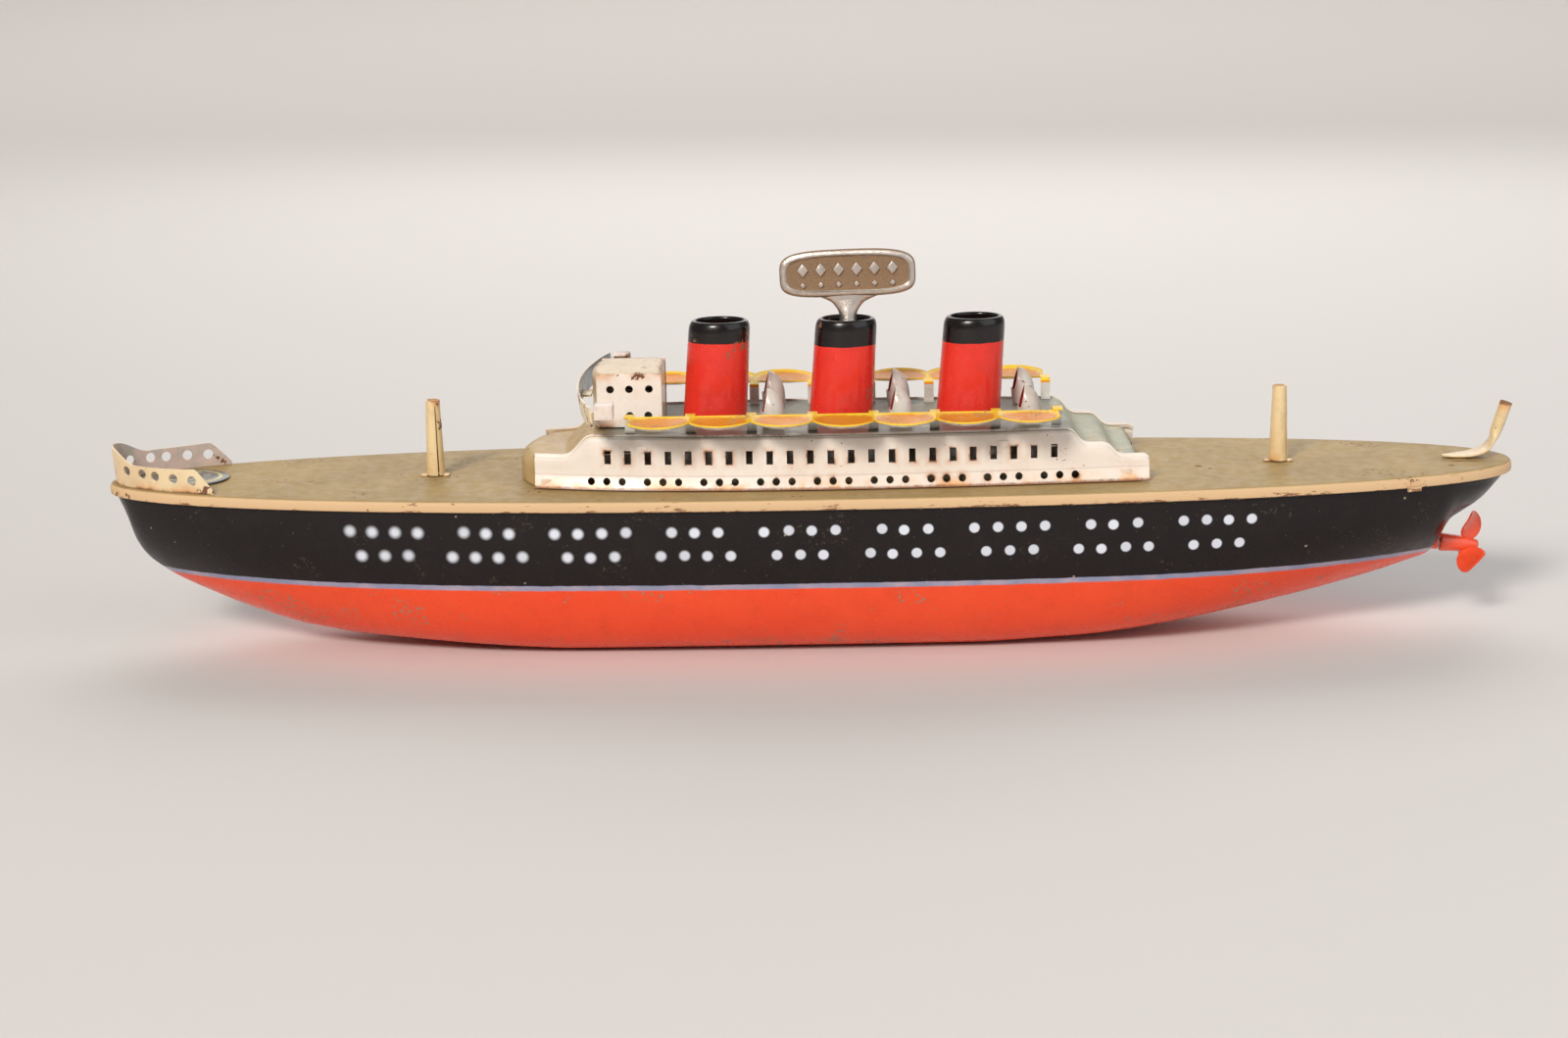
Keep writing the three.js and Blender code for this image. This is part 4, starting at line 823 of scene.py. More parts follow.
def houseFinish():
    material, tree, shader = newMaterial("houseEnamel")
    place, x, _, z = objectPlace(tree)
    white = useGroup(tree, tone, Place=place, Color=(0.84, 0.74, 0.65), **{"Color Dirt": (0.66, 0.50, 0.38)},
                     Amount=0.3, Grime=0.3)["Color"]
    holes = houseShape["portholes"]
    start = holes["first"] - holes["groupPitch"] / 2
    local = calc(tree, "FLOORED_MODULO", minus(tree, x, start), holes["groupPitch"])
    local = minus(tree, local, holes["groupPitch"] / 2)
    nearest = calc(tree, "MINIMUM", most(tree, calc(tree, "ROUND", over(tree, local, holes["pitch"])), -1.0),
                   1.0)
    across = minus(tree, local, times(tree, nearest, holes["pitch"]))
    below = minus(tree, z, deckTop + holes["height"])
    around = calc(tree, "SQRT", plus(tree, calc(tree, "POWER", across, 2.0), calc(tree, "POWER", below, 2.0)))
    windows = houseShape["windows"]
    localW = calc(tree, "FLOORED_MODULO", plus(tree, minus(tree, x, windows["first"]), windows["pitch"] / 2),
                  windows["pitch"])
    acrossW = minus(tree, calc(tree, "ABSOLUTE", minus(tree, localW, windows["pitch"] / 2)),
                    windows["width"] / 2)
    sill = deckTop + windows["sill"] + windows["height"] / 2
    belowW = minus(tree, calc(tree, "ABSOLUTE", minus(tree, z, sill)), windows["height"] / 2)
    besideW = most(tree, acrossW, belowW)
    lastHole = holes["first"] + (holes["groups"] - 1) * holes["groupPitch"]
    lastWindow = windows["first"] + (windows["count"] - 1) * windows["pitch"]
    beyond = []
    for first, last in ((holes["first"] - 5, lastHole + 5), (windows["first"] - 2, lastWindow + 2)):
        outside = most(tree, calc(tree, "LESS_THAN", x, first), calc(tree, "GREATER_THAN", x, last))
        beyond.append(times(tree, outside, 9.0))
    edge = calc(tree, "MINIMUM", plus(tree, minus(tree, around, holes["radius"]), beyond[0]),
                plus(tree, besideW, beyond[1]))
    ragged = noiseOf(tree, place, 0.8, 4.0, 0.75)
    patchy = ramp(tree, noiseOf(tree, moved(tree, place, (7, 3, 5)), 0.11, 3.0, 0.6), 0.46, 0.62)
    ring = ramp(tree, minus(tree, edge, times(tree, ragged, times(tree, patchy, 0.9))), -0.45, 0.0, 0.9, 0.0)
    bottom = minus(tree, z, deckTop + 0.3)
    bottomRust = ramp(tree, minus(tree, bottom, times(tree, ragged, 0.9)), -0.4, 0.3, 0.95, 0.0)
    stain = times(tree, ramp(tree, bottom, 0.0, 3.0, 0.95, 0.0),
                  ramp(tree, noiseOf(tree, moved(tree, place, (1, 6, 2)), 0.1, 3.0, 0.6), 0.44, 0.6))
    color = blendColor(tree, stain, white, (0.86, 0.45, 0.16))
    halo = times(tree, ramp(tree, edge, 0.0, 1.5, 0.5, 0.0), patchy)
    color = blendColor(tree, halo, color, (0.66, 0.32, 0.15))
    speck = useGroup(tree, freckles, Place=place, Spacing=2.2, Size=0.13, Share=0.28)["Mask"]
    chip = useGroup(tree, chips, Place=place, Size=0.8, Amount=0.55, Clumps=10.0)["Mask"]
    ledge = ramp(tree, plus(tree, z, times(tree, ragged, 1.6)), roofTop + 0.6, roofTop + 1.1, 0.0, 0.8)
    worn = most(tree, most(tree, speck, chip), most(tree, ring, bottomRust))
    worn = most(tree, worn, times(tree, ledge, patchy))
    brown = blendColor(tree, noiseOf(tree, place, 1.8, 3.0), (0.42, 0.17, 0.07), (0.13, 0.05, 0.03))
    # painted shade: the white darkens to grey-brown along the crease between the storeys
    crease = ramp(tree, calc(tree, "ABSOLUTE", minus(tree, z, deckTop + houseShape["crease"])), 0.0, 0.35,
                  0.35, 0.0)
    color = blendColor(tree, crease, color, (0.5, 0.38, 0.32))
    dress(tree, shader, blendColor(tree, worn, color, brown), place, 0.4, worn, 0.15)
    return material


def wallPoint(u, v):
    # u runs from front to back, v up the lower storey, past the crease, up the wall and over the flange.
    front, back = houseShape["front"], houseShape["front"] + houseShape["steps"][-1][0]
    x = mix(front, back, u)
    half, crease = houseShape["halfWidth"], deckTop + houseShape["crease"]
    top = max(heightAt(wallTop, x) + 0.5, crease + 0.6)
    bottom = deckTop + 0.3
    down = houseShape["shoulder"]
    rows = [(half + houseShape["flare"], bottom), (half + 0.12, crease - 0.25), (half, crease + 0.25),
            (half, top - down - 0.3), (half - 0.08, top - down - 0.08), (half - 0.3, top - down + 0.05),
            (half - 0.8, top - down + 0.12), (half - 0.95, top - 0.25), (half - 1.15, top),
            (half - houseShape["flange"], top)]
    place = v * (len(rows) - 1)
    low = min(int(place), len(rows) - 2)
    y = mix(rows[low][0], rows[low + 1][0], place - low)
    z = mix(rows[low][1], rows[low + 1][1], place - low)
    return (x, y - houseNarrowing(x) + 0.09 * wobble(x, 0, z, 0.06, 2), z)


def wallCutter(side):
    cutter = bmesh.new()
    windows, holes = houseShape["windows"], houseShape["portholes"]
    inner, outer = 14.0, 23.0
    for number in range(windows["count"]):
        x = windows["first"] + number * windows["pitch"]
        low = deckTop + windows["sill"] + 0.06 * sin(number * 2.1)
        block(cutter, (x - windows["width"] / 2, inner * side if side > 0 else -outer, low),
              (x + windows["width"] / 2, outer if side > 0 else -inner, low + windows["height"]))
    for group in range(holes["groups"]):
        for step in (-1, 0, 1):
            x = holes["first"] + group * holes["groupPitch"] + step * holes["pitch"]
            z = deckTop + holes["height"]
            rod(cutter, (x, inner * side, z), (x, outer * side, z), holes["radius"], 18)
    return cutter


def tabOn(bm, x, z, y, side, radius=1.15):
    # A half-round tongue folded down over its slot.
    for vert in rod(bm, (x, y - 0.2 * side, z), (x, y + 0.2 * side, z), radius, 20):
        vert.co.z = min(vert.co.z, z + 0.3)


def makeHouse():
    finish = houseFinish()
    for side, name in ((1, "starboard"), (-1, "port")):
        bm = bmesh.new()
        sheet(bm, 300, 27, wallPoint)
        weld(bm)
        outward(bm)
        middle = min(bm.faces, key=lambda face: (face.calc_center_median() - Vector((0, 20, 44))).length)
        if middle.normal.y < 0:
            bmesh.ops.reverse_faces(bm, faces=bm.faces)
        thicken(bm, houseShape["thickness"])
        if side < 0:
            bmesh.ops.scale(bm, vec=(1, -1, 1), verts=bm.verts)
            outward(bm)
        finishPiece(bm, name + "HouseWall", [finish], stands=[name + "_house_wall"],
                    angle=40, cutter=wallCutter(side))
        tabs = bmesh.new()
        for x, z in houseShape["tabs"]:
            lean = houseShape["flare"] * clamp((houseShape["crease"] - z) / houseShape["crease"])
            tabOn(tabs, x, deckTop + z, (houseShape["halfWidth"] - houseNarrowing(x) + lean + 0.2) * side,
                  side)
        outward(tabs)
        finishPiece(tabs, name + "WallTabs", [finish], angle=40)


roofShape = {"thickness": 0.4, "bow": 4.4, "halfWidth": 19.15}


def roofFinish():
    material, tree, shader = newMaterial("roofEnamel")
    place, x, *_ = objectPlace(tree)
    spread = plus(tree, x, times(tree, noiseOf(tree, place, 0.12, 3.0), 6.0))
    khaki = useGroup(tree, tone, Place=place, Color=(0.49, 0.34, 0.16), **{"Color Dirt": (0.33, 0.22, 0.10)},
                     Amount=0.4, Grime=0.4)["Color"]
    grey = useGroup(tree, tone, Place=place, Color=(0.235, 0.235, 0.19), **{"Color Dirt": (0.30, 0.24, 0.17)},
                    Amount=0.3, Grime=0.4)["Color"]
    green = useGroup(tree, tone, Place=place, Color=(0.33, 0.34, 0.25), **{"Color Dirt": (0.55, 0.44, 0.27)},
                     Amount=0.4, Grime=0.9)["Color"]
    color = blendColor(tree, ramp(tree, spread, -44.0, -38.0), khaki, grey)
    color = blendColor(tree, ramp(tree, spread, 56.0, 60.0), color, green)
    speck = useGroup(tree, freckles, Place=place, Spacing=3.2, Size=0.15, Share=0.3)["Mask"]
    chip = useGroup(tree, chips, Place=place, Size=1.0, Amount=0.7, Clumps=12.0)["Mask"]
    worn = most(tree, speck, chip)
    dress(tree, shader, blendColor(tree, worn, color, rust), place, 0.42, worn, 0.1, dents=2.0)
    shader.inputs["Specular IOR Level"].default_value = 0.2
    return material


def makeRoof():
    front, steps = houseShape["front"], houseShape["steps"]
    low = deckTop + 0.3
    line = [(front + 0.2, low), (front + 0.2, deckTop + steps[0][1])]
    line += [(front + x, roofTop if z > 11 else deckTop + z) for x, z in steps[1:7]]
    line += [(front + 130.3, deckTop + steps[7][1]), (front + 131.1, low)]
    path = rounded(line[:3], 3.4, 8)[:-1] + rounded(line[2:], 1.5, 6)[0:]
    half = roofShape["halfWidth"]
    bm = bmesh.new()

    def place(u, v):
        point = onLine(path, u)
        y = mix(-half, half, v)
        forward = clamp((front + 11.6 - point.x) / 11.6)
        crown = 0.25 * (1 - (y / half) ** 2)
        width = 1 - houseNarrowing(point.x) / half
        return (point.x - roofShape["bow"] * forward * (1 - (y / half) ** 2), y * width,
                point.y - 0.1 + crown * 0.4)
    sheet(bm, 260, 36, place)
    outward(bm)
    middle = min(bm.faces, key=lambda face: (face.calc_center_median() - Vector((0, 0, roofTop))).length)
    if middle.normal.z < 0:
        bmesh.ops.reverse_faces(bm, faces=bm.faces)
    thicken(bm, roofShape["thickness"])
    low, high = boxOf("winding_arbor")
    axis = (low + high) / 2
    cutter = bmesh.new()
    rod(cutter, (axis.x, 0, roofTop - 3), (axis.x, 0, roofTop + 3), 2.5, 24)
    return finishPiece(bm, "houseRoof", [roofFinish()], stands=["house_roof"], angle=40,
                       cutter=cutter)


makeHouse()
makeRoof()
print("deckhouse is made")


boatShape = {
    "count": 7, "first": -38.6, "pitch": 13.1, "inner": 18.45, "cusp": 25.0, "bulge": 30.7, "dish": 1.1,
    "height": 16.3, "legWidth": 2.1, "legInset": 3.4, "thickness": 0.35,
}


def boatFinish(name, color, dirt, soiling):
    return enamel(name, color, dirt, 0.25, specks=0.2, chipping=0.8, soiling=soiling, coat=0.35)


def boatInside():
    material, tree, shader = newMaterial("lifeboatInside")
    place, *_, z = objectPlace(tree)
    top = deckTop + boatShape["height"]
    orange = useGroup(tree, tone, Place=place, Color=(0.70, 0.235, 0.014),
                      **{"Color Dirt": (0.50, 0.20, 0.03)}, Amount=0.5, Grime=0.5)["Color"]
    yellow = useGroup(tree, tone, Place=place, Color=(0.90, 0.56, 0.03), **{"Color Dirt": (0.72, 0.40, 0.05)},
                      Amount=0.4, Grime=0.3)["Color"]
    uneven = times(tree, minus(tree, noiseOf(tree, place, 0.5, 3.0), 0.5), 0.5)
    rim = ramp(tree, plus(tree, z, uneven), top - 0.42, top - 0.12)
    chip = useGroup(tree, chips, Place=place, Size=0.8, Amount=0.9, Clumps=9.0)["Mask"]
    color = blendColor(tree, chip, blendColor(tree, rim, orange, yellow), (0.40, 0.30, 0.2))
    dress(tree, shader, color, place, 0.3, chip, 0.0)
    shader.inputs["Specular IOR Level"].default_value = 0.15
    return material


def stripPath(bm, path, start, end):
    # A flat strip along (y, z) points, between two x positions.
    sheet(bm, 1, (len(path) - 1), lambda u, v: (mix(start, end, u), *path[round(v * (len(path) - 1))]))


def makeLifeboats():
    yellow = boatInside()
    pale = boatFinish("lifeboatOutside", (0.56, 0.53, 0.47), (0.30, 0.26, 0.21), 0.6)
    top = deckTop + boatShape["height"]
    inner, cusp, bulge = boatShape["inner"], boatShape["cusp"], boatShape["bulge"]

    def place(u, v):
        boat = u * boatShape["count"]
        share = boat - int(min(boat, boatShape["count"] - 1e-6))
        x = boatShape["first"] + boat * boatShape["pitch"]
        waist = max(sin(pi * share), 0)
        outer = mix(cusp, bulge, waist ** 0.62) + 0.25 * wobble(x, 0, 0, 0.11, 6)
        depth = boatShape["dish"] * waist ** 0.7 * max(sin(pi * v), 0) ** 0.7
        rim = 0.18 * smooth(v, 0.9, 1.0)
        sag = 0.3 * wobble(x, 0, 0, 0.035, 9)
        return (x, mix(inner, outer, v), top - depth + rim + sag * v)
    for side, name in ((1, "starboard"), (-1, "port")):
        bm = bmesh.new()
        sheet(bm, 7 * 22, 16, place)
        for number in range(boatShape["count"] + 1):
            x = boatShape["first"] + number * boatShape["pitch"]
            inset = inner - boatShape["legInset"]
            line = [(inner + 0.3, top - 0.05), (inset, top - 0.05), (inset, roofTop + 0.25),
                    (inset - 1.4, roofTop + 0.2)]
            path = rounded(line, 0.7, 4)
            stripPath(bm, path, x - boatShape["legWidth"] / 2, x + boatShape["legWidth"] / 2)
        for face in bm.faces:
            if face.normal.z < -0.01 or (abs(face.normal.z) <= 0.01 and face.normal.y > 0):
                face.normal_flip()
        bm.normal_update()
        thicken(bm, boatShape["thickness"])
        if side < 0:
            bmesh.ops.scale(bm, vec=(1, -1, 1), verts=bm.verts)
            bmesh.ops.reverse_faces(bm, faces=bm.faces)
        bm.normal_update()

        def pick(face):
            inLeg = abs(face.center.y) < (inner - 2.6) * mm and face.center.z < (top - 0.7) * mm
            return 1 if face.normal.z < -0.25 or inLeg else 0
        finishPiece(bm, name + "Lifeboats", [yellow, pale], stands=[name + "_lifeboats"],
                    angle=38, pick=pick)


makeLifeboats()
print("lifeboats are made")


bridgeShape = {
    "front": -45.8, "back": -32.0, "halfWidth": 9.5, "height": 12.2, "bow": 1.6, "thickness": 0.4,
    "holes": [(-43.0, 8.7), (-38.9, 8.7), (-34.6, 8.7), (-43.4, 2.9), (-38.9, 2.9), (-34.9, 2.9)], "holeRadius": 0.85,
}
cabShape = {"length": 4.0, "width": 4.0, "low": 18.1, "high": 21.3, "front": -45.0}
wingShape = {"halfSpan": 31.0, "front": -50.1, "end": -45.6, "low": 16.7, "high": 21.0, "thickness": 0.4}


def makeBridge():
    white = enamel("bridgeEnamel", (0.84, 0.72, 0.62), (0.62, 0.44, 0.32), 0.4, specks=0.35, chipping=1.2,
                   soiling=0.35, rustLow=roofTop + 0.3, rustHigh=roofTop + bridgeShape["height"],
                   rustNear=0.45)
    khaki = enamel("bridgeRoofEnamel", (0.54, 0.38, 0.20), (0.36, 0.25, 0.13), 0.34, specks=0.35,
                   chipping=0.9, soiling=0.35)
    cream = enamel("wingEnamel", (0.76, 0.56, 0.32), (0.5, 0.34, 0.18), 0.35, specks=0.4, chipping=1.1,
                   soiling=0.4)
    greyBlue = enamel("wingInside", (0.25, 0.29, 0.33), (0.14, 0.16, 0.17), 0.35, specks=0.3, chipping=0.8,
                      soiling=0.6)
    wornWhite = enamel("cabEnamel", (0.74, 0.60, 0.50), (0.40, 0.22, 0.14), 0.45, specks=0.8, chipping=3.2,
                       soiling=1.0, chipColor=(0.38, 0.2, 0.13))
    front, back = bridgeShape["front"], bridgeShape["back"]
    top = roofTop + bridgeShape["height"]
    line = [(front, roofTop + 0.3), (front, top), (back, top), (back, roofTop + 0.3)]
    path = rounded(line, 1.5, 8)
    half = bridgeShape["halfWidth"] - 0.35
    bm = bmesh.new()

    def place(u, v):
        point = onLine(path, u)
        y = mix(-half, half, v)
        forward = clamp((back - point.x) / (back - front)) ** 2
        edge = 0.35 * clamp((abs(y) - half + 0.7) / 0.7) ** 2
        return (point.x - bridgeShape["bow"] * forward * (1 - (y / half) ** 2), y,
                point.y - edge * smooth(point.y, top - 2, top))
    sheet(bm, 90, 24, place)
    outward(bm)
    highest = max(bm.faces, key=lambda face: face.calc_center_median().z)
    if highest.normal.z < 0:
        bmesh.ops.reverse_faces(bm, faces=bm.faces)
    thicken(bm, bridgeShape["thickness"])
    finishPiece(bm, "bridgeCover", [khaki], stands=["bridge_cover"], angle=40)
    for side, name in ((1, "starboard"), (-1, "port")):
        bm = bmesh.new()
        outer = bridgeShape["halfWidth"] * side
        block(bm, (front - 0.2, min(outer, outer - 0.5 * side), roofTop + 0.3),
              (back + 0.15, max(outer, outer - 0.5 * side), top - 0.15), 0.22, 3)
        if side > 0:
            block(bm, (-42.6, outer - 0.5, top - 0.6), (-38.6, outer, top + 1.5), 0.15)
            block(bm, (-42.6, outer - 0.5, top + 1.1), (-38.6, outer + 1.2, top + 1.5), 0.15)
        cutter = bmesh.new()
        for x, z in bridgeShape["holes"]:
            rod(cutter, (x, outer - 2, roofTop + z), (x, outer + 2, roofTop + z), bridgeShape["holeRadius"],
                22)
        finishPiece(bm, name + "BridgeSide", [white], stands=[name + "_bridge_side"],
                    angle=40, cutter=cutter)
        bm = bmesh.new()
        length, width = cabShape["length"], cabShape["width"]
        inner = (wingShape["halfSpan"] - width) * side
        outer = wingShape["halfSpan"] * side
        low, high = deckTop + cabShape["low"], deckTop + cabShape["high"]
        block(bm, (cabShape["front"], min(inner, outer), low),
              (cabShape["front"] + length, max(inner, outer), high), 0.3, 3)
        cutter = bmesh.new()
        block(cutter, (cabShape["front"] + 0.4, min(inner - side, outer - 0.4 * side), low - 1),
              (cabShape["front"] + length - 0.4, max(inner - side, outer - 0.4 * side), high - 0.4), 0.15)
        for vert in bm.verts:
            vert.co += Vector((0.12 * wobble(*vert.co, 0.5, 1), 0, 0.15 * wobble(*vert.co, 0.5, 5)))
        finishPiece(bm, name + "WingCab", [wornWhite], stands=[name + "_wing_cab"],
                    angle=40, cutter=cutter)
    rise = wingShape["end"] - wingShape["front"]
    span = wingShape["halfSpan"]
    radius = (span ** 2 + rise ** 2) / (2 * rise)
    reach = atan2(span, radius - rise)
    bm = bmesh.new()

    def wingPlace(u, v):
        angle = mix(-reach, reach, u)
        lean = 0.5 * v
        return (wingShape["front"] + radius - (radius + lean) * cos(angle), radius * sin(angle),
                deckTop + mix(wingShape["low"], wingShape["high"], v) + 0.12 * wobble(0, angle * 60, 0, 0.1))
    sheet(bm, 96, 6, wingPlace)
    outward(bm)
    for face in bm.faces:
        if face.normal.x > 0:
            face.normal_flip()
    bm.normal_update()
    thicken(bm, wingShape["thickness"])
    block(bm, (wingShape["front"] + 0.3, -3, deckTop + wingShape["low"] + 1),
          (front - bridgeShape["bow"] - 0.2, 3, deckTop + wingShape["low"] + 1.5), 0.1)
    finishPiece(bm, "bridgeWingScreen", [cream, greyBlue], stands=["bridge_wing_screen"],
                angle=40, pick=lambda face: 1 if face.normal.x > 0.3 else 0)


makeBridge()
print("bridge is made")


funnelShape = {"length": 14.0, "width": 11.2, "rake": 1.55, "topShare": 0.96, "black": (0.79, 0.735, 0.75), "wall": 0.5}


def funnelFinish():
    material, tree, shader = newMaterial("funnelEnamel")
    place, x, _, z = objectPlace(tree)
    low, high = boxOf("funnel_middle")
    heights = [mix(low.z, high.z, share) for share in funnelShape["black"]]
    between = [mix(boxOf(a)[1].x, boxOf(b)[0].x, 0.5) for a, b in (("funnel_fore", "funnel_middle"),
                                                                    ("funnel_middle", "funnel_aft"))]
    change = plus(tree, heights[0], times(tree, calc(tree, "GREATER_THAN", x, between[0]),
                                          heights[1] - heights[0]))
    change = plus(tree, change, times(tree, calc(tree, "GREATER_THAN", x, between[1]),
                                      heights[2] - heights[1]))
    red = useGroup(tree, tone, Place=place, Color=(0.76, 0.028, 0.016), **{"Color Dirt": (0.5, 0.02, 0.012)},
                   Amount=0.3, Grime=0.4)["Color"]
    glints = useGroup(tree, freckles, Place=place, Spacing=0.75, Size=0.07, Share=0.35)["Mask"]
    red = blendColor(tree, times(tree, glints, 0.35), red, (0.95, 0.4, 0.3))
    black = useGroup(tree, tone, Place=place, Color=(0.006, 0.0035, 0.0035),
                     **{"Color Dirt": (0.02, 0.01, 0.009)}, Amount=0.3, Grime=0.4)["Color"]
    above = minus(tree, plus(tree, z, times(tree, noiseOf(tree, place, 0.25), 0.5)), change)
    top = ramp(tree, above, 0.2, 0.34)
    color = blendColor(tree, top, red, black)
    chip = useGroup(tree, chips, Place=place, Size=0.9, Amount=1.0, Clumps=8.0)["Mask"]
    foot = ramp(tree, minus(tree, z, times(tree, noiseOf(tree, place, 0.8, 3.0), 1.2)), low.z - 0.6, low.z,
                0.9, 0.0)
    worn = most(tree, chip, foot)
    dress(tree, shader, blendColor(tree, worn, color, (0.30, 0.13, 0.07)), place, 0.24, worn, 0.3, peel=0.012)
    shader.inputs["Specular IOR Level"].default_value = 0.35
    return material


def makeFunnels():
    finish = funnelFinish()
    for name in ("fore", "middle", "aft"):
        low, high = boxOf("funnel_" + name)
        height = high.z - low.z
        centre = low.x + funnelShape["length"] / 2
        wall = funnelShape["wall"] / (funnelShape["width"] / 2)
        t = funnelShape["topShare"]
        line = [(1.0, 0), (mix(1, t, 0.5), height * 0.5), (t, height - 2.2), (t - 0.012, height - 1.4),
                (t - 0.045, height - 0.65), (t - 0.105, height - 0.12), (t - 0.165, height),
                (t - 0.215, height - 0.3), (t - 0.225, height - 1.0), (t - 0.20, height - 1.7),
                (t - wall * 1.3, height - 2.6), (mix(1, t, 0.5) - wall, height * 0.5), (1.0 - wall, 0),
                (1.0, 0)]
        path = rounded(line, 0.25, 3)
        bm = bmesh.new()

        def place(u, v):
            index = v * (len(path) - 1)
            at = min(int(index), len(path) - 2)
            share, z = path[at].lerp(path[at + 1], index - at)
            angle = 2 * pi * u
            dent = 1 + 0.006 * wobble(cos(angle) * 6, sin(angle) * 6, z, 0.12, low.x)
            x = centre + share * cos(angle) * funnelShape["length"] / 2 * dent + funnelShape["rake"] * z / height
            return (x, share * sin(angle) * funnelShape["width"] / 2 * dent, low.z + z)
        sheet(bm, 72, len(path) - 1, place)
        weld(bm)
        outward(bm)
        finishPiece(bm, name + "Funnel", [finish], stands=["funnel_" + name], angle=50)


makeFunnels()
print("funnels are made")


cowlShape = {
    # radius and height, up the outside and down the inside
    "profile": [(2.3, 0.0), (2.48, 0.9), (2.58, 2.0), (2.6, 3.2), (2.54, 4.4), (2.32, 5.5), (1.92, 6.5), (1.36, 7.35),
                (0.7, 7.95), (0.0, 8.2), (0.0, 7.8), (0.55, 7.6), (1.1, 7.0), (1.62, 6.2), (2.0, 5.3), (2.22, 4.3),
                (2.28, 3.2), (2.26, 2.0), (2.16, 0.9), (2.0, 0.0), (2.3, 0.0)],
    "tall": 8.2, "lean": 1.1, "pinch": 0.3, "turn": 5, "mouth": (-2.15, 3.3), "mouthTilt": 12,
}


def makeVentilators():
    pale = enamel("cowlEnamel", (0.60, 0.53, 0.47), (0.36, 0.28, 0.23), 0.4, specks=0.4, chipping=0.7,
                  soiling=0.5)
    red = enamel("cowlInside", (0.62, 0.05, 0.025), (0.3, 0.03, 0.02), 0.35, specks=0.2, chipping=0.8,
                 soiling=0.4)
    profile, tall = cowlShape["profile"], cowlShape["tall"]
    for sideName in ("starboard", "port"):
        for name in ("fore", "middle", "aft"):
            low, high = boxOf(sideName + "_ventilator_" + name)
            middle = Vector(((low + high).x / 2 + 0.1, (low + high).y / 2, low.z))
            bm = bmesh.new()

            def place(u, v):
                radius, z = profile[round(v * (len(profile) - 1))]
                angle = 2 * pi * u
                narrow = 1 - cowlShape["pinch"] * smooth(z, 4.5, tall)
                return (radius * cos(angle) - cowlShape["lean"] * (z / tall) ** 2.3,
                        radius * sin(angle) * narrow, z)
            sheet(bm, 40, len(profile) - 1, place)
            weld(bm, 0.003)
            outward(bm)
            face = cowlShape["mouth"]
            spin = Matrix.Rotation(radians(cowlShape["turn"]), 4, "Z")
            cutter = bmesh.new()
            tilt = Matrix.Translation((face[0], 0,
                                       face[1])) @ Matrix.Rotation(radians(cowlShape["mouthTilt"]), 4, "Y")
            block(cutter, (-6, -6, 0), (0, 6, 12), matrix=Matrix.Translation(middle) @ spin @ tilt)
            bmesh.ops.transform(bm, matrix=Matrix.Translation(middle) @ spin, verts=bm.verts)
            hollow = middle + Vector((-0.4, 0, 4.2))

            def pick(one):
                inward = Vector(one.normal).dot(hollow - Vector(one.center) / mm) > 0
                return 1 if inward and one.center.z / mm > middle.z + 1 else 0
            finishPiece(bm, sideName + name.capitalize() + "Ventilator", [pale, red],
                        stands=[sideName + "_ventilator_" + name], angle=45,
                        cutter=cutter, pick=pick)


makeVentilators()
print("ventilators are made")


mastShape = {"base": 2.1, "top": 1.6, "seam": 14, "thickness": 0.4, "footLength": 2.6, "footWidth": 1.5}


def makeMasts():
    cream = enamel("mastEnamel", (0.78, 0.56, 0.30), (0.42, 0.24, 0.12), 0.32, specks=0.3, chipping=1.6,
                   soiling=0.4, rustLow=deckTop + 0.3, rustHigh=deckTop + 17, rustNear=0.35)
    for name in ("fore", "aft"):
        low, high = boxOf(name + "_mast")
        centre = (low + high) / 2
        height = high.z - low.z
        opening = radians(mastShape["seam"])
        turn = radians(-62 if name == "fore" else -20)
        bm = bmesh.new()

        def place(u, v):
            angle = turn + opening / 2 + (2 * pi - opening) * u
            radius = mix(mastShape["base"], mastShape["top"],
                         v) * (1 + 0.02 * wobble(u * 4, v * 9, 0, 1.0, centre.x))
            lap = 0.12 * u
            return (centre.x + (radius - lap) * cos(angle), (radius - lap) * sin(angle), low.z + height * v)
        sheet(bm, 40, 12, place)
        outward(bm)
        face = max(bm.faces, key=lambda one: one.calc_center_median().x)
        if face.normal.x < 0:
            bmesh.ops.reverse_faces(bm, faces=bm.faces)
        thicken(bm, mastShape["thickness"])
        for way in (-1, 1):
            start = centre.x + way * (mastShape["base"] - 0.3)
            end = start + way * mastShape["footLength"] * (0.55 if way < 0 else 0.5)
            block(bm, (min(start, end), -mastShape["footWidth"] / 2 - 0.6, deckTop + 0.05),
                  (max(start, end), mastShape["footWidth"] / 2 - 0.6, deckTop + 0.5), 0.12)
        finishPiece(bm, name + "Mast", [cream], stands=[name + "_mast"], angle=40)


staffShape = {"radius": 1.35, "wall": 0.3,
              "path": [(139.6, 0.5, 0.6, 0.3), (142.4, 0.6, 2.2, 0.34), (146.0, 0.9, 3.0, 0.42),
                       (149.0, 2.0, 3.0, 0.5), (150.7, 4.2, 2.1, 0.75), (151.5, 6.4, 1.35, 1.3),
                       (153.45, 12.4, 1.35, 1.35)]}


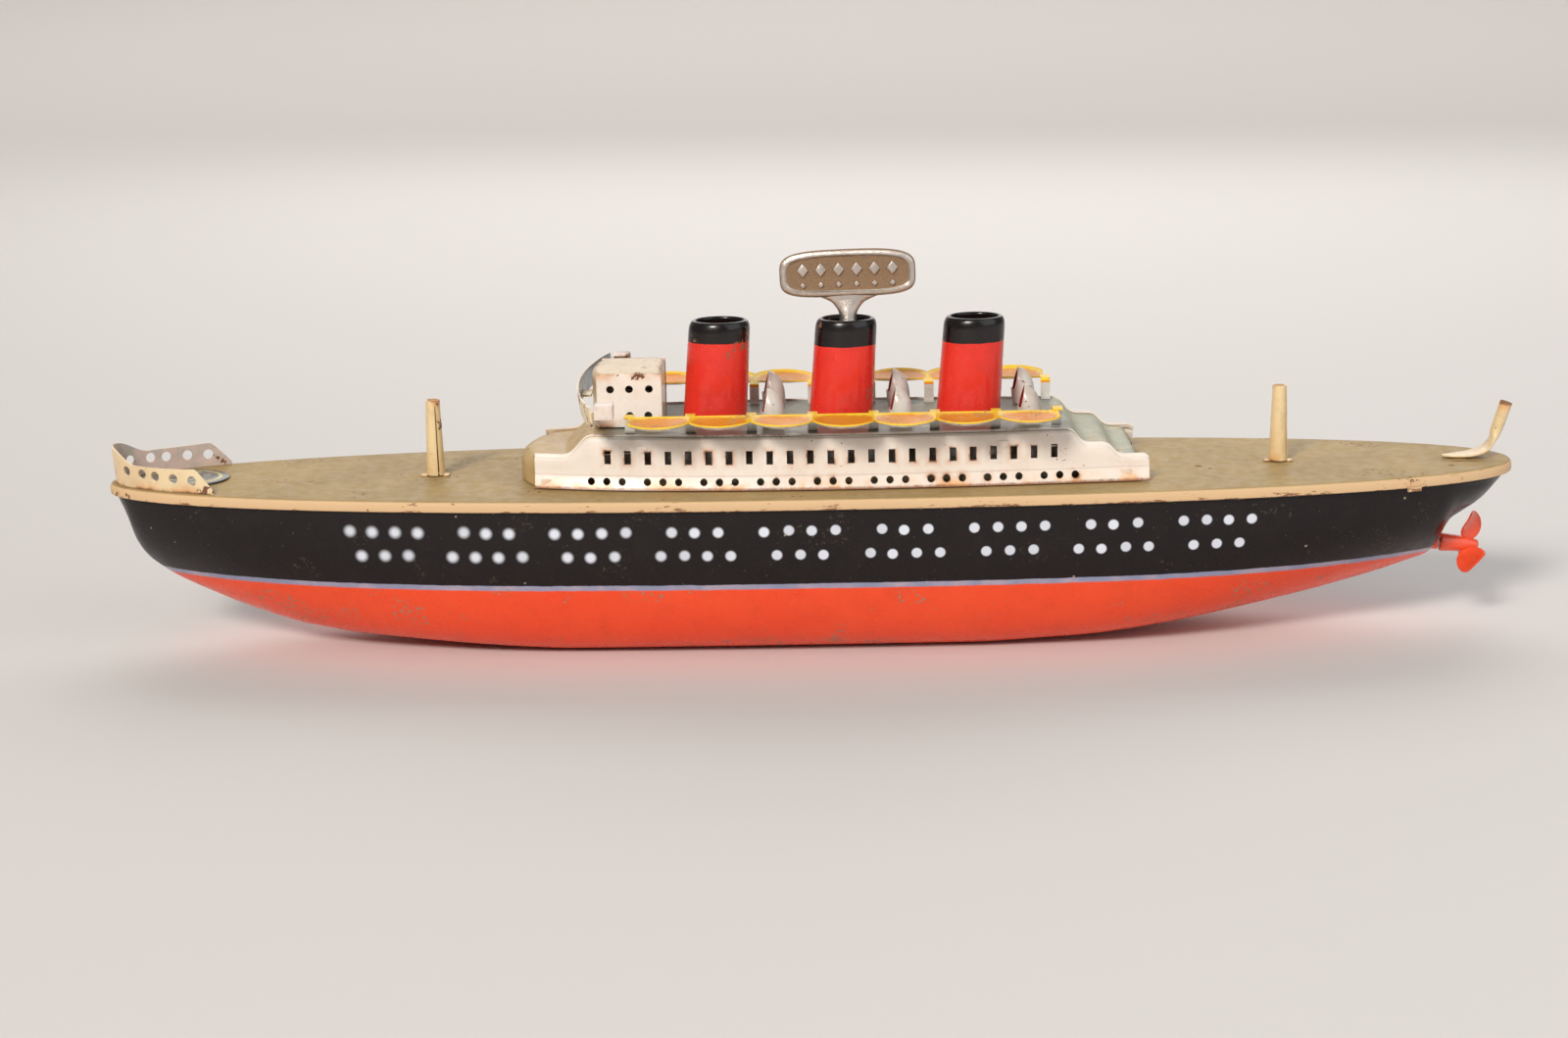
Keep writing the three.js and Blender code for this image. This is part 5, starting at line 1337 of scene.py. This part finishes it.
def makeStaff():
    cream = enamel("staffEnamel", (0.72, 0.53, 0.29), (0.3, 0.17, 0.1), 0.32, specks=0.3, chipping=0.4,
                   soiling=0.5, rustHigh=deckTop + 12.0, rustNear=0.3)
    path = staffShape["path"]
    bm = bmesh.new()

    def station(v):
        index = v * (len(path) - 1)
        at = min(int(index), len(path) - 2)
        t = index - at
        points = [path[max(at - 1, 0)], path[at], path[at + 1], path[min(at + 2, len(path) - 1)]]
        values = []
        for a, b, c, d in zip(*points):
            values.append(0.5 * (2 * b + (c - a) * t + (2 * a - 5 * b + 4 * c - d) * t * t
                                 + (3 * b - a - 3 * c + d) * t ** 3))
        return values

    def place(u, v):
        x, z, wide, thick = station(v)
        nextX, nextZ = station(min(v + 0.02, 1.0))[:2]
        beforeX, beforeZ = station(max(v - 0.02, 0.0))[:2]
        along = Vector((nextX - beforeX, nextZ - beforeZ)).normalized()
        angle = 2 * pi * u
        rise = thick * sin(angle)
        return (x - along.y * rise, wide * cos(angle), deckTop + z + along.x * rise)
    sheet(bm, 28, 60, place)
    weld(bm)
    outward(bm)
    top = max(bm.faces, key=lambda face: face.calc_center_median().z)
    if top.normal.dot(top.calc_center_median() - Vector((153.1, 0, top.calc_center_median().z))) < 0:
        bmesh.ops.reverse_faces(bm, faces=bm.faces)
    foot = [edge for edge in bm.edges if edge.is_boundary and edge.verts[0].co.x < 141]
    bmesh.ops.contextual_create(bm, geom=foot)
    thicken(bm, staffShape["wall"])
    finishPiece(bm, "flagStaff", [cream], stands=["flagstaff"], angle=45)


railShape = {"setIn": 1.3, "end": (-129.0, -131.0), "slant": 4.2, "side": 5.1, "tip": 8.2, "holes": 5, "pitch": 4.5, "radius": 1.08,
             "thickness": 0.4}


def makeRail():
    cream = enamel("railEnamel", (0.76, 0.56, 0.33), (0.45, 0.3, 0.18), 0.34, specks=0.35, chipping=1.2,
                   soiling=0.35, rustLow=deckTop + 0.2, rustNear=0.5)
    inside = enamel("railInside", (0.56, 0.42, 0.37), (0.24, 0.31, 0.28), 0.4, specks=0.35, chipping=1.0,
                    soiling=0.6)
    last = 0.0
    while deckEdge(last, railShape["setIn"]).x < railShape["end"][0]:
        last += 0.0005
    bm = bmesh.new()

    def place(u, v):
        side = 1 if u > 0.5 else -1
        railEnd = railShape["end"][side > 0]
        share = abs(u * 2 - 1) * last * ((railEnd + halfLength) / (railShape["end"][0] + halfLength)) ** 0.5
        edge = deckEdge(share, railShape["setIn"])
        fromTip = clamp((edge.x + halfLength) / (railEnd + halfLength))
        ending = clamp((edge.x - railEnd + railShape["slant"]) / railShape["slant"])
        height = mix(railShape["tip"], railShape["side"], smooth(fromTip, 0.04, 0.30)) + 0.4 * smooth(fromTip,
                                                                                                      0.5, 1)
        height = mix(height, 0.75, ending ** 1.15)
        lean = 0.5 * v * (1 - fromTip)
        return (edge.x - lean, edge.y * side, deckTop + 0.1 + (height - 0.1) * v)
    sheet(bm, 150, 10, place)
    weld(bm)
    outward(bm)
    tip = min(bm.faces, key=lambda face: face.calc_center_median().x)
    if tip.normal.x > 0:
        bmesh.ops.reverse_faces(bm, faces=bm.faces)
    thicken(bm, railShape["thickness"])
    cutter = bmesh.new()
    for side in (-1, 1):
        for number in range(railShape["holes"]):
            x = railShape["end"][side > 0] - railShape["slant"] - 0.6 - number * railShape["pitch"] * (0.88 if number > 2 else 0.97)
            y = side * (deckHalfWidth(x) - railShape["setIn"])
            out = Vector((-0.25 - number * 0.16, side, 0)).normalized() * 3
            z = deckTop + railShape["side"] * 0.56 + number * 0.2
            rod(cutter, (x - out.x, y - out.y, z), (x + out.x, y + out.y, z), railShape["radius"], 22)
    finishPiece(bm, "bowRail", [cream, inside], stands=["bow_rail"], angle=40,
                cutter=cutter, pick=lambda face: 1 if face.normal.y * face.center.y < 0
                and abs(face.normal.z) < 0.5 else 0)


badgeShape = {"ring": (0.78, 0.86), "inner": (0.30, 0.36)}


def makeBadge():
    low, high = boxOf("foredeck_plate")
    centre, half = (low + high) / 2, (high - low) / 2
    material, tree, shader = newMaterial("badgePrint")
    place, x, y, _ = objectPlace(tree)
    dx = over(tree, minus(tree, x, centre.x), half.x)
    dy = over(tree, y, half.y)
    distance = calc(tree, "SQRT", plus(tree, calc(tree, "POWER", dx, 2.0), calc(tree, "POWER", dy, 2.0)))
    dark = useGroup(tree, tone, Place=place, Color=(0.045, 0.045, 0.035),
                    **{"Color Dirt": (0.16, 0.14, 0.09)}, Amount=0.3, Grime=0.5)["Color"]
    ring = 0.0
    for near, far in (badgeShape["ring"], badgeShape["inner"]):
        inside = times(tree, calc(tree, "GREATER_THAN", distance, near),
                       calc(tree, "LESS_THAN", distance, far))
        ring = inside if isinstance(ring, float) else most(tree, ring, inside)
    chip = useGroup(tree, chips, Place=place, Size=0.9, Amount=1.2, Clumps=6.0)["Mask"]
    color = blendColor(tree, chip, blendColor(tree, ring, dark, (0.50, 0.42, 0.13)), (0.5, 0.36, 0.18))
    dress(tree, shader, color, place, 0.3, chip, 0.3)
    bm = bmesh.new()
    bmesh.ops.create_cone(bm, cap_ends=True, segments=72, radius1=1.0, radius2=1.0, depth=1.0)
    for vert in bm.verts:
        vert.co = Vector((centre.x + vert.co.x * half.x, vert.co.y * half.y,
                          centre.z + vert.co.z * (high.z - low.z)))
    rim = [edge for edge in bm.edges if edge.verts[0].co.z > centre.z and edge.verts[1].co.z > centre.z]
    bmesh.ops.bevel(bm, geom=rim, offset=0.15, segments=2, profile=0.5, affect="EDGES", material=-1)
    for vert in bm.verts:
        vert.co.z -= 0.15
    finishPiece(bm, "foredeckPlate", [material], stands=["foredeck_plate"], angle=40)


makeMasts()
makeStaff()
makeRail()
makeBadge()
print("masts, staff and rail are made")


propShape = {"radius": 7.6, "hub": 2.1, "fore": 6.5, "aft": 2.2, "chord": 7.4, "middle": 4.3,
             "pitch": (76, 24), "thickness": 0.6, "blades": 3, "phase": 0}


def shaftPoint(joint="propeller_spin"):
    for one in frame["joints"]:
        if one["name"] == joint:
            return Vector(one["pos_m"]) / mm, Vector(one["axis"])


def makePropeller():
    red = enamel("propellerEnamel", (0.80, 0.075, 0.025), (0.5, 0.05, 0.02), 0.28, specks=0.2, chipping=1.0,
                 soiling=0.4, chipColor=(0.36, 0.16, 0.08), coat=0.4)
    tube = frame["nodes"]["stern_tube"]
    tube.data.materials.clear()
    tube.data.materials.append(red)
    centre, axis = shaftPoint()
    turn = Vector((1, 0, 0)).rotation_difference(axis).to_matrix().to_4x4()
    bm = bmesh.new()
    hub = propShape["hub"]
    path = rounded([(-propShape["fore"], 0), (-propShape["fore"], hub), (-1.0, hub * 0.82),
                    (propShape["aft"], hub * 0.5), (propShape["aft"], 0)], 0.5, 4)
    sheet(bm, 40, 40, lambda u, v: (onLine(path, v).x, onLine(path, v).y * cos(2 * pi * u),
                                    onLine(path, v).y * sin(2 * pi * u)))
    weld(bm)
    outward(bm)
    for number in range(propShape["blades"]):
        blade = bmesh.new()

        def place(u, v):
            angle = 2 * pi * u
            spread = sin(pi * v) ** 0.55
            face = propShape["thickness"] / 2 * (1 if v < 0.5 else -1) * abs(cos(pi * v)) ** 0.4
            reach = propShape["middle"] + (propShape["radius"] - propShape["middle"]) * spread * sin(angle)
            out = clamp(reach / propShape["radius"])
            across = propShape["chord"] / 2 * spread * cos(angle) * mix(0.75, 1.1, out)
            pitch = radians(mix(*propShape["pitch"], out))
            cup = face + 0.05 * across ** 2 * out
            return (across * sin(pitch) + cup * cos(pitch), across * cos(pitch) - cup * sin(pitch), reach)
        sheet(blade, 40, 24, place)
        weld(blade, 0.004)
        outward(blade)
        bmesh.ops.rotate(blade, cent=(0, 0, 0), matrix=Matrix.Rotation(2 * pi * number / propShape["blades"]
                                                                       + radians(propShape["phase"]), 3, "X"),
                         verts=blade.verts)
        keep = bpy.data.meshes.new("blade")
        blade.to_mesh(keep)
        blade.free()
        bm.from_mesh(keep)
        bpy.data.meshes.remove(keep)
    bmesh.ops.transform(bm, matrix=Matrix.Translation(centre) @ turn, verts=bm.verts)
    finishPiece(bm, "propellerCasting", [red], body="propeller_shaft_set", stands=["propeller"],
                angle=45)


makePropeller()
print("propeller is made")


keyShape = {
    "width": 29.6, "height": 10.4, "centre": 43.39, "lean": 1.2, "stemLow": 15.3,
    # how far in from the outline, and how far out from the middle plane
    "rim": [(0.0, 0.0), (0.05, 0.45), (0.3, 0.85), (0.7, 1.08), (1.15, 1.08), (1.45, 0.85), (1.6, 0.62), (2.0, 0.58)],
    "lozenges": 6, "pitch": 3.9,
}


def keyFinish():
    material, tree, shader = newMaterial("castKey")
    place, _, y, z = objectPlace(tree)
    depth = calc(tree, "ABSOLUTE", y)
    sunk = ramp(tree, depth, 0.62, 0.95, 1.0, 0.0)
    low, high = boxOf("winding_key")
    field = ramp(tree, z, high.z - keyShape["height"] + 1.2, high.z - keyShape["height"] + 1.5)
    patina = times(tree, sunk, field)
    stain = ramp(tree, noiseOf(tree, place, 0.7, 4.0, 0.7), 0.45, 0.7)
    cover = times(tree, most(tree, patina, times(tree, stain, 0.3)), 0.9)
    nickel = blendColor(tree, noiseOf(tree, place, 0.4, 3.0), (0.80, 0.72, 0.66), (0.52, 0.46, 0.41))
    brown = blendColor(tree, noiseOf(tree, place, 1.6, 3.0), (0.33, 0.18, 0.07), (0.13, 0.07, 0.03))
    link(tree, blendColor(tree, cover, nickel, brown), shader.inputs["Base Color"])
    link(tree, ramp(tree, cover, 0.0, 1.0, 0.95, 0.35), shader.inputs["Metallic"])
    link(tree, ramp(tree, cover, 0.0, 1.0, 0.34, 0.62), shader.inputs["Roughness"])
    bump = tree.nodes.new("ShaderNodeBump")
    bump.inputs["Strength"].default_value = 0.8
    bump.inputs["Distance"].default_value = 0.12 * mm
    grain = plus(tree, noiseOf(tree, place, 2.6, 3.0, 0.6),
                 times(tree, times(tree, noiseOf(tree, place, 3.4, 1.0), patina), 1.5))
    tree.links.new(grain, bump.inputs["Height"])
    tree.links.new(bump.outputs["Normal"], shader.inputs["Normal"])
    return material


def plaqueEdge(share, setIn):
    angle = 2 * pi * share
    c, s = cos(angle), sin(angle)
    width, height = keyShape["width"] / 2 - setIn, keyShape["height"] / 2 - setIn
    x = width * (1 if c > 0 else -1) * abs(c) ** 0.45
    arch = 0.45 * (1 - (x / width) ** 2) if s > 0 else 0
    return (x, height * (1 if s > 0 else -1) * abs(s) ** 0.5 * 0.96 + arch)


def makeKey():
    arborLow, arborHigh = boxOf("winding_arbor")
    axis = (arborLow + arborHigh).x / 2
    middle = Vector((axis, 0, deckTop + keyShape["centre"]))
    rim = keyShape["rim"]
    bm = bmesh.new()
    rows = 2 * (len(rim) + 1)

    def place(u, v):
        index = round(v * rows)
        side = 1 if index > rows / 2 else -1
        inner = abs(index - rows / 2)
        if inner >= len(rim):
            return (0, rim[-1][1] * side, 0)
        setIn, out = rim[int(inner)]
        x, z = plaqueEdge(u, setIn)
        return (x, out * side, z)
    sheet(bm, 144, rows, place)
    weld(bm, 0.003)
    outward(bm)
    for side in (-1, 1):
        for number in range(keyShape["lozenges"]):
            x = (number - (keyShape["lozenges"] - 1) / 2) * keyShape["pitch"]
            for z, wide, tall in ((1.15, 1.35, 1.7), (-2.1, 0.7, 0.75)):
                matrix = (Matrix.Translation((x, 0.85 * side, z)) @ Matrix.Diagonal((wide, 1, tall, 1))
                          @ Matrix.Rotation(pi / 2, 4, "X"))
                made = bmesh.ops.create_cone(bm, cap_ends=True, segments=4, radius1=1.0,
                                             radius2=0.86 if side < 0 else 1.0, depth=0.5,
                                             matrix=matrix)["verts"]
                edges = [edge for vert in made for edge in vert.link_edges]
                bmesh.ops.bevel(bm, geom=list(set(edges)), offset=0.12, segments=2, profile=0.5,
                                affect="EDGES", material=-1)
    bmesh.ops.rotate(bm, cent=(0, 0, 0), matrix=Matrix.Rotation(-radians(keyShape["lean"]), 3, "Y"),
                     verts=bm.verts)
    bmesh.ops.translate(bm, vec=middle, verts=bm.verts)
    neckTop = middle.z - keyShape["height"] / 2 + 1.2
    neck = bmesh.new()
    # height, half width, half depth of the neck and the stem
    stations = [(neckTop, 6.9, 0.9), (neckTop - 0.9, 6.4, 0.95), (neckTop - 1.5, 4.9, 1.0),
                (neckTop - 2.1, 3.7, 1.1), (neckTop - 2.9, 2.9, 1.25), (neckTop - 4.0, 2.2, 1.5),
                (neckTop - 5.4, 1.75, 1.75), (neckTop - 8.5, 2.3, 2.3),
                (deckTop + keyShape["stemLow"], 2.3, 2.3)]

    def neckPlace(u, v):
        index = v * (len(stations) - 1)
        at = min(int(index), len(stations) - 2)
        z, wide, deep = [mix(a, b, index - at) for a, b in zip(stations[at], stations[at + 1])]
        angle = 2 * pi * u
        return (axis + wide * cos(angle), deep * sin(angle), z)
    sheet(neck, 36, 3 * (len(stations) - 1), neckPlace)
    weld(neck)
    ends = [edge for edge in neck.edges if edge.is_boundary and edge.verts[0].co.z > neckTop - 0.1]
    bmesh.ops.contextual_create(neck, geom=ends)
    outward(neck)
    side = max(neck.faces, key=lambda face: face.calc_center_median().x)
    if side.normal.x < 0:
        bmesh.ops.reverse_faces(neck, faces=neck.faces)
    thicken(neck, 0.8)
    keep = bpy.data.meshes.new("neck")
    neck.to_mesh(keep)
    neck.free()
    bm.from_mesh(keep)
    bpy.data.meshes.remove(keep)
    finishPiece(bm, "windingKey", [keyFinish()], body="winding_key", stands=["winding_key"],
                angle=35)


makeKey()
print("key is made")


clockwork = {
    "steel": ["propeller_shaft", "intermediate_pinion", "shaft_pinion", "motor_bottom_plate", "motor_top_plate",
              "pillar_port_fore", "pillar_starboard_fore", "pillar_port_aft", "pillar_starboard_aft",
              "motor_hanger_starboard", "motor_hanger_port", "intermediate_arbor", "winding_arbor", "click_star",
              "shaft_bearing"],
    "brass": ["great_wheel", "crown_wheel"],
    "spring": ["mainspring"],
}
metals = {"steel": steelFinish, "brass": brassFinish, "spring": springFinish}
for kind, names in clockwork.items():
    for name in names:
        node = frame["nodes"][name]
        node.data.materials.clear()
        node.data.materials.append(metals[kind])
print("clockwork is dressed")
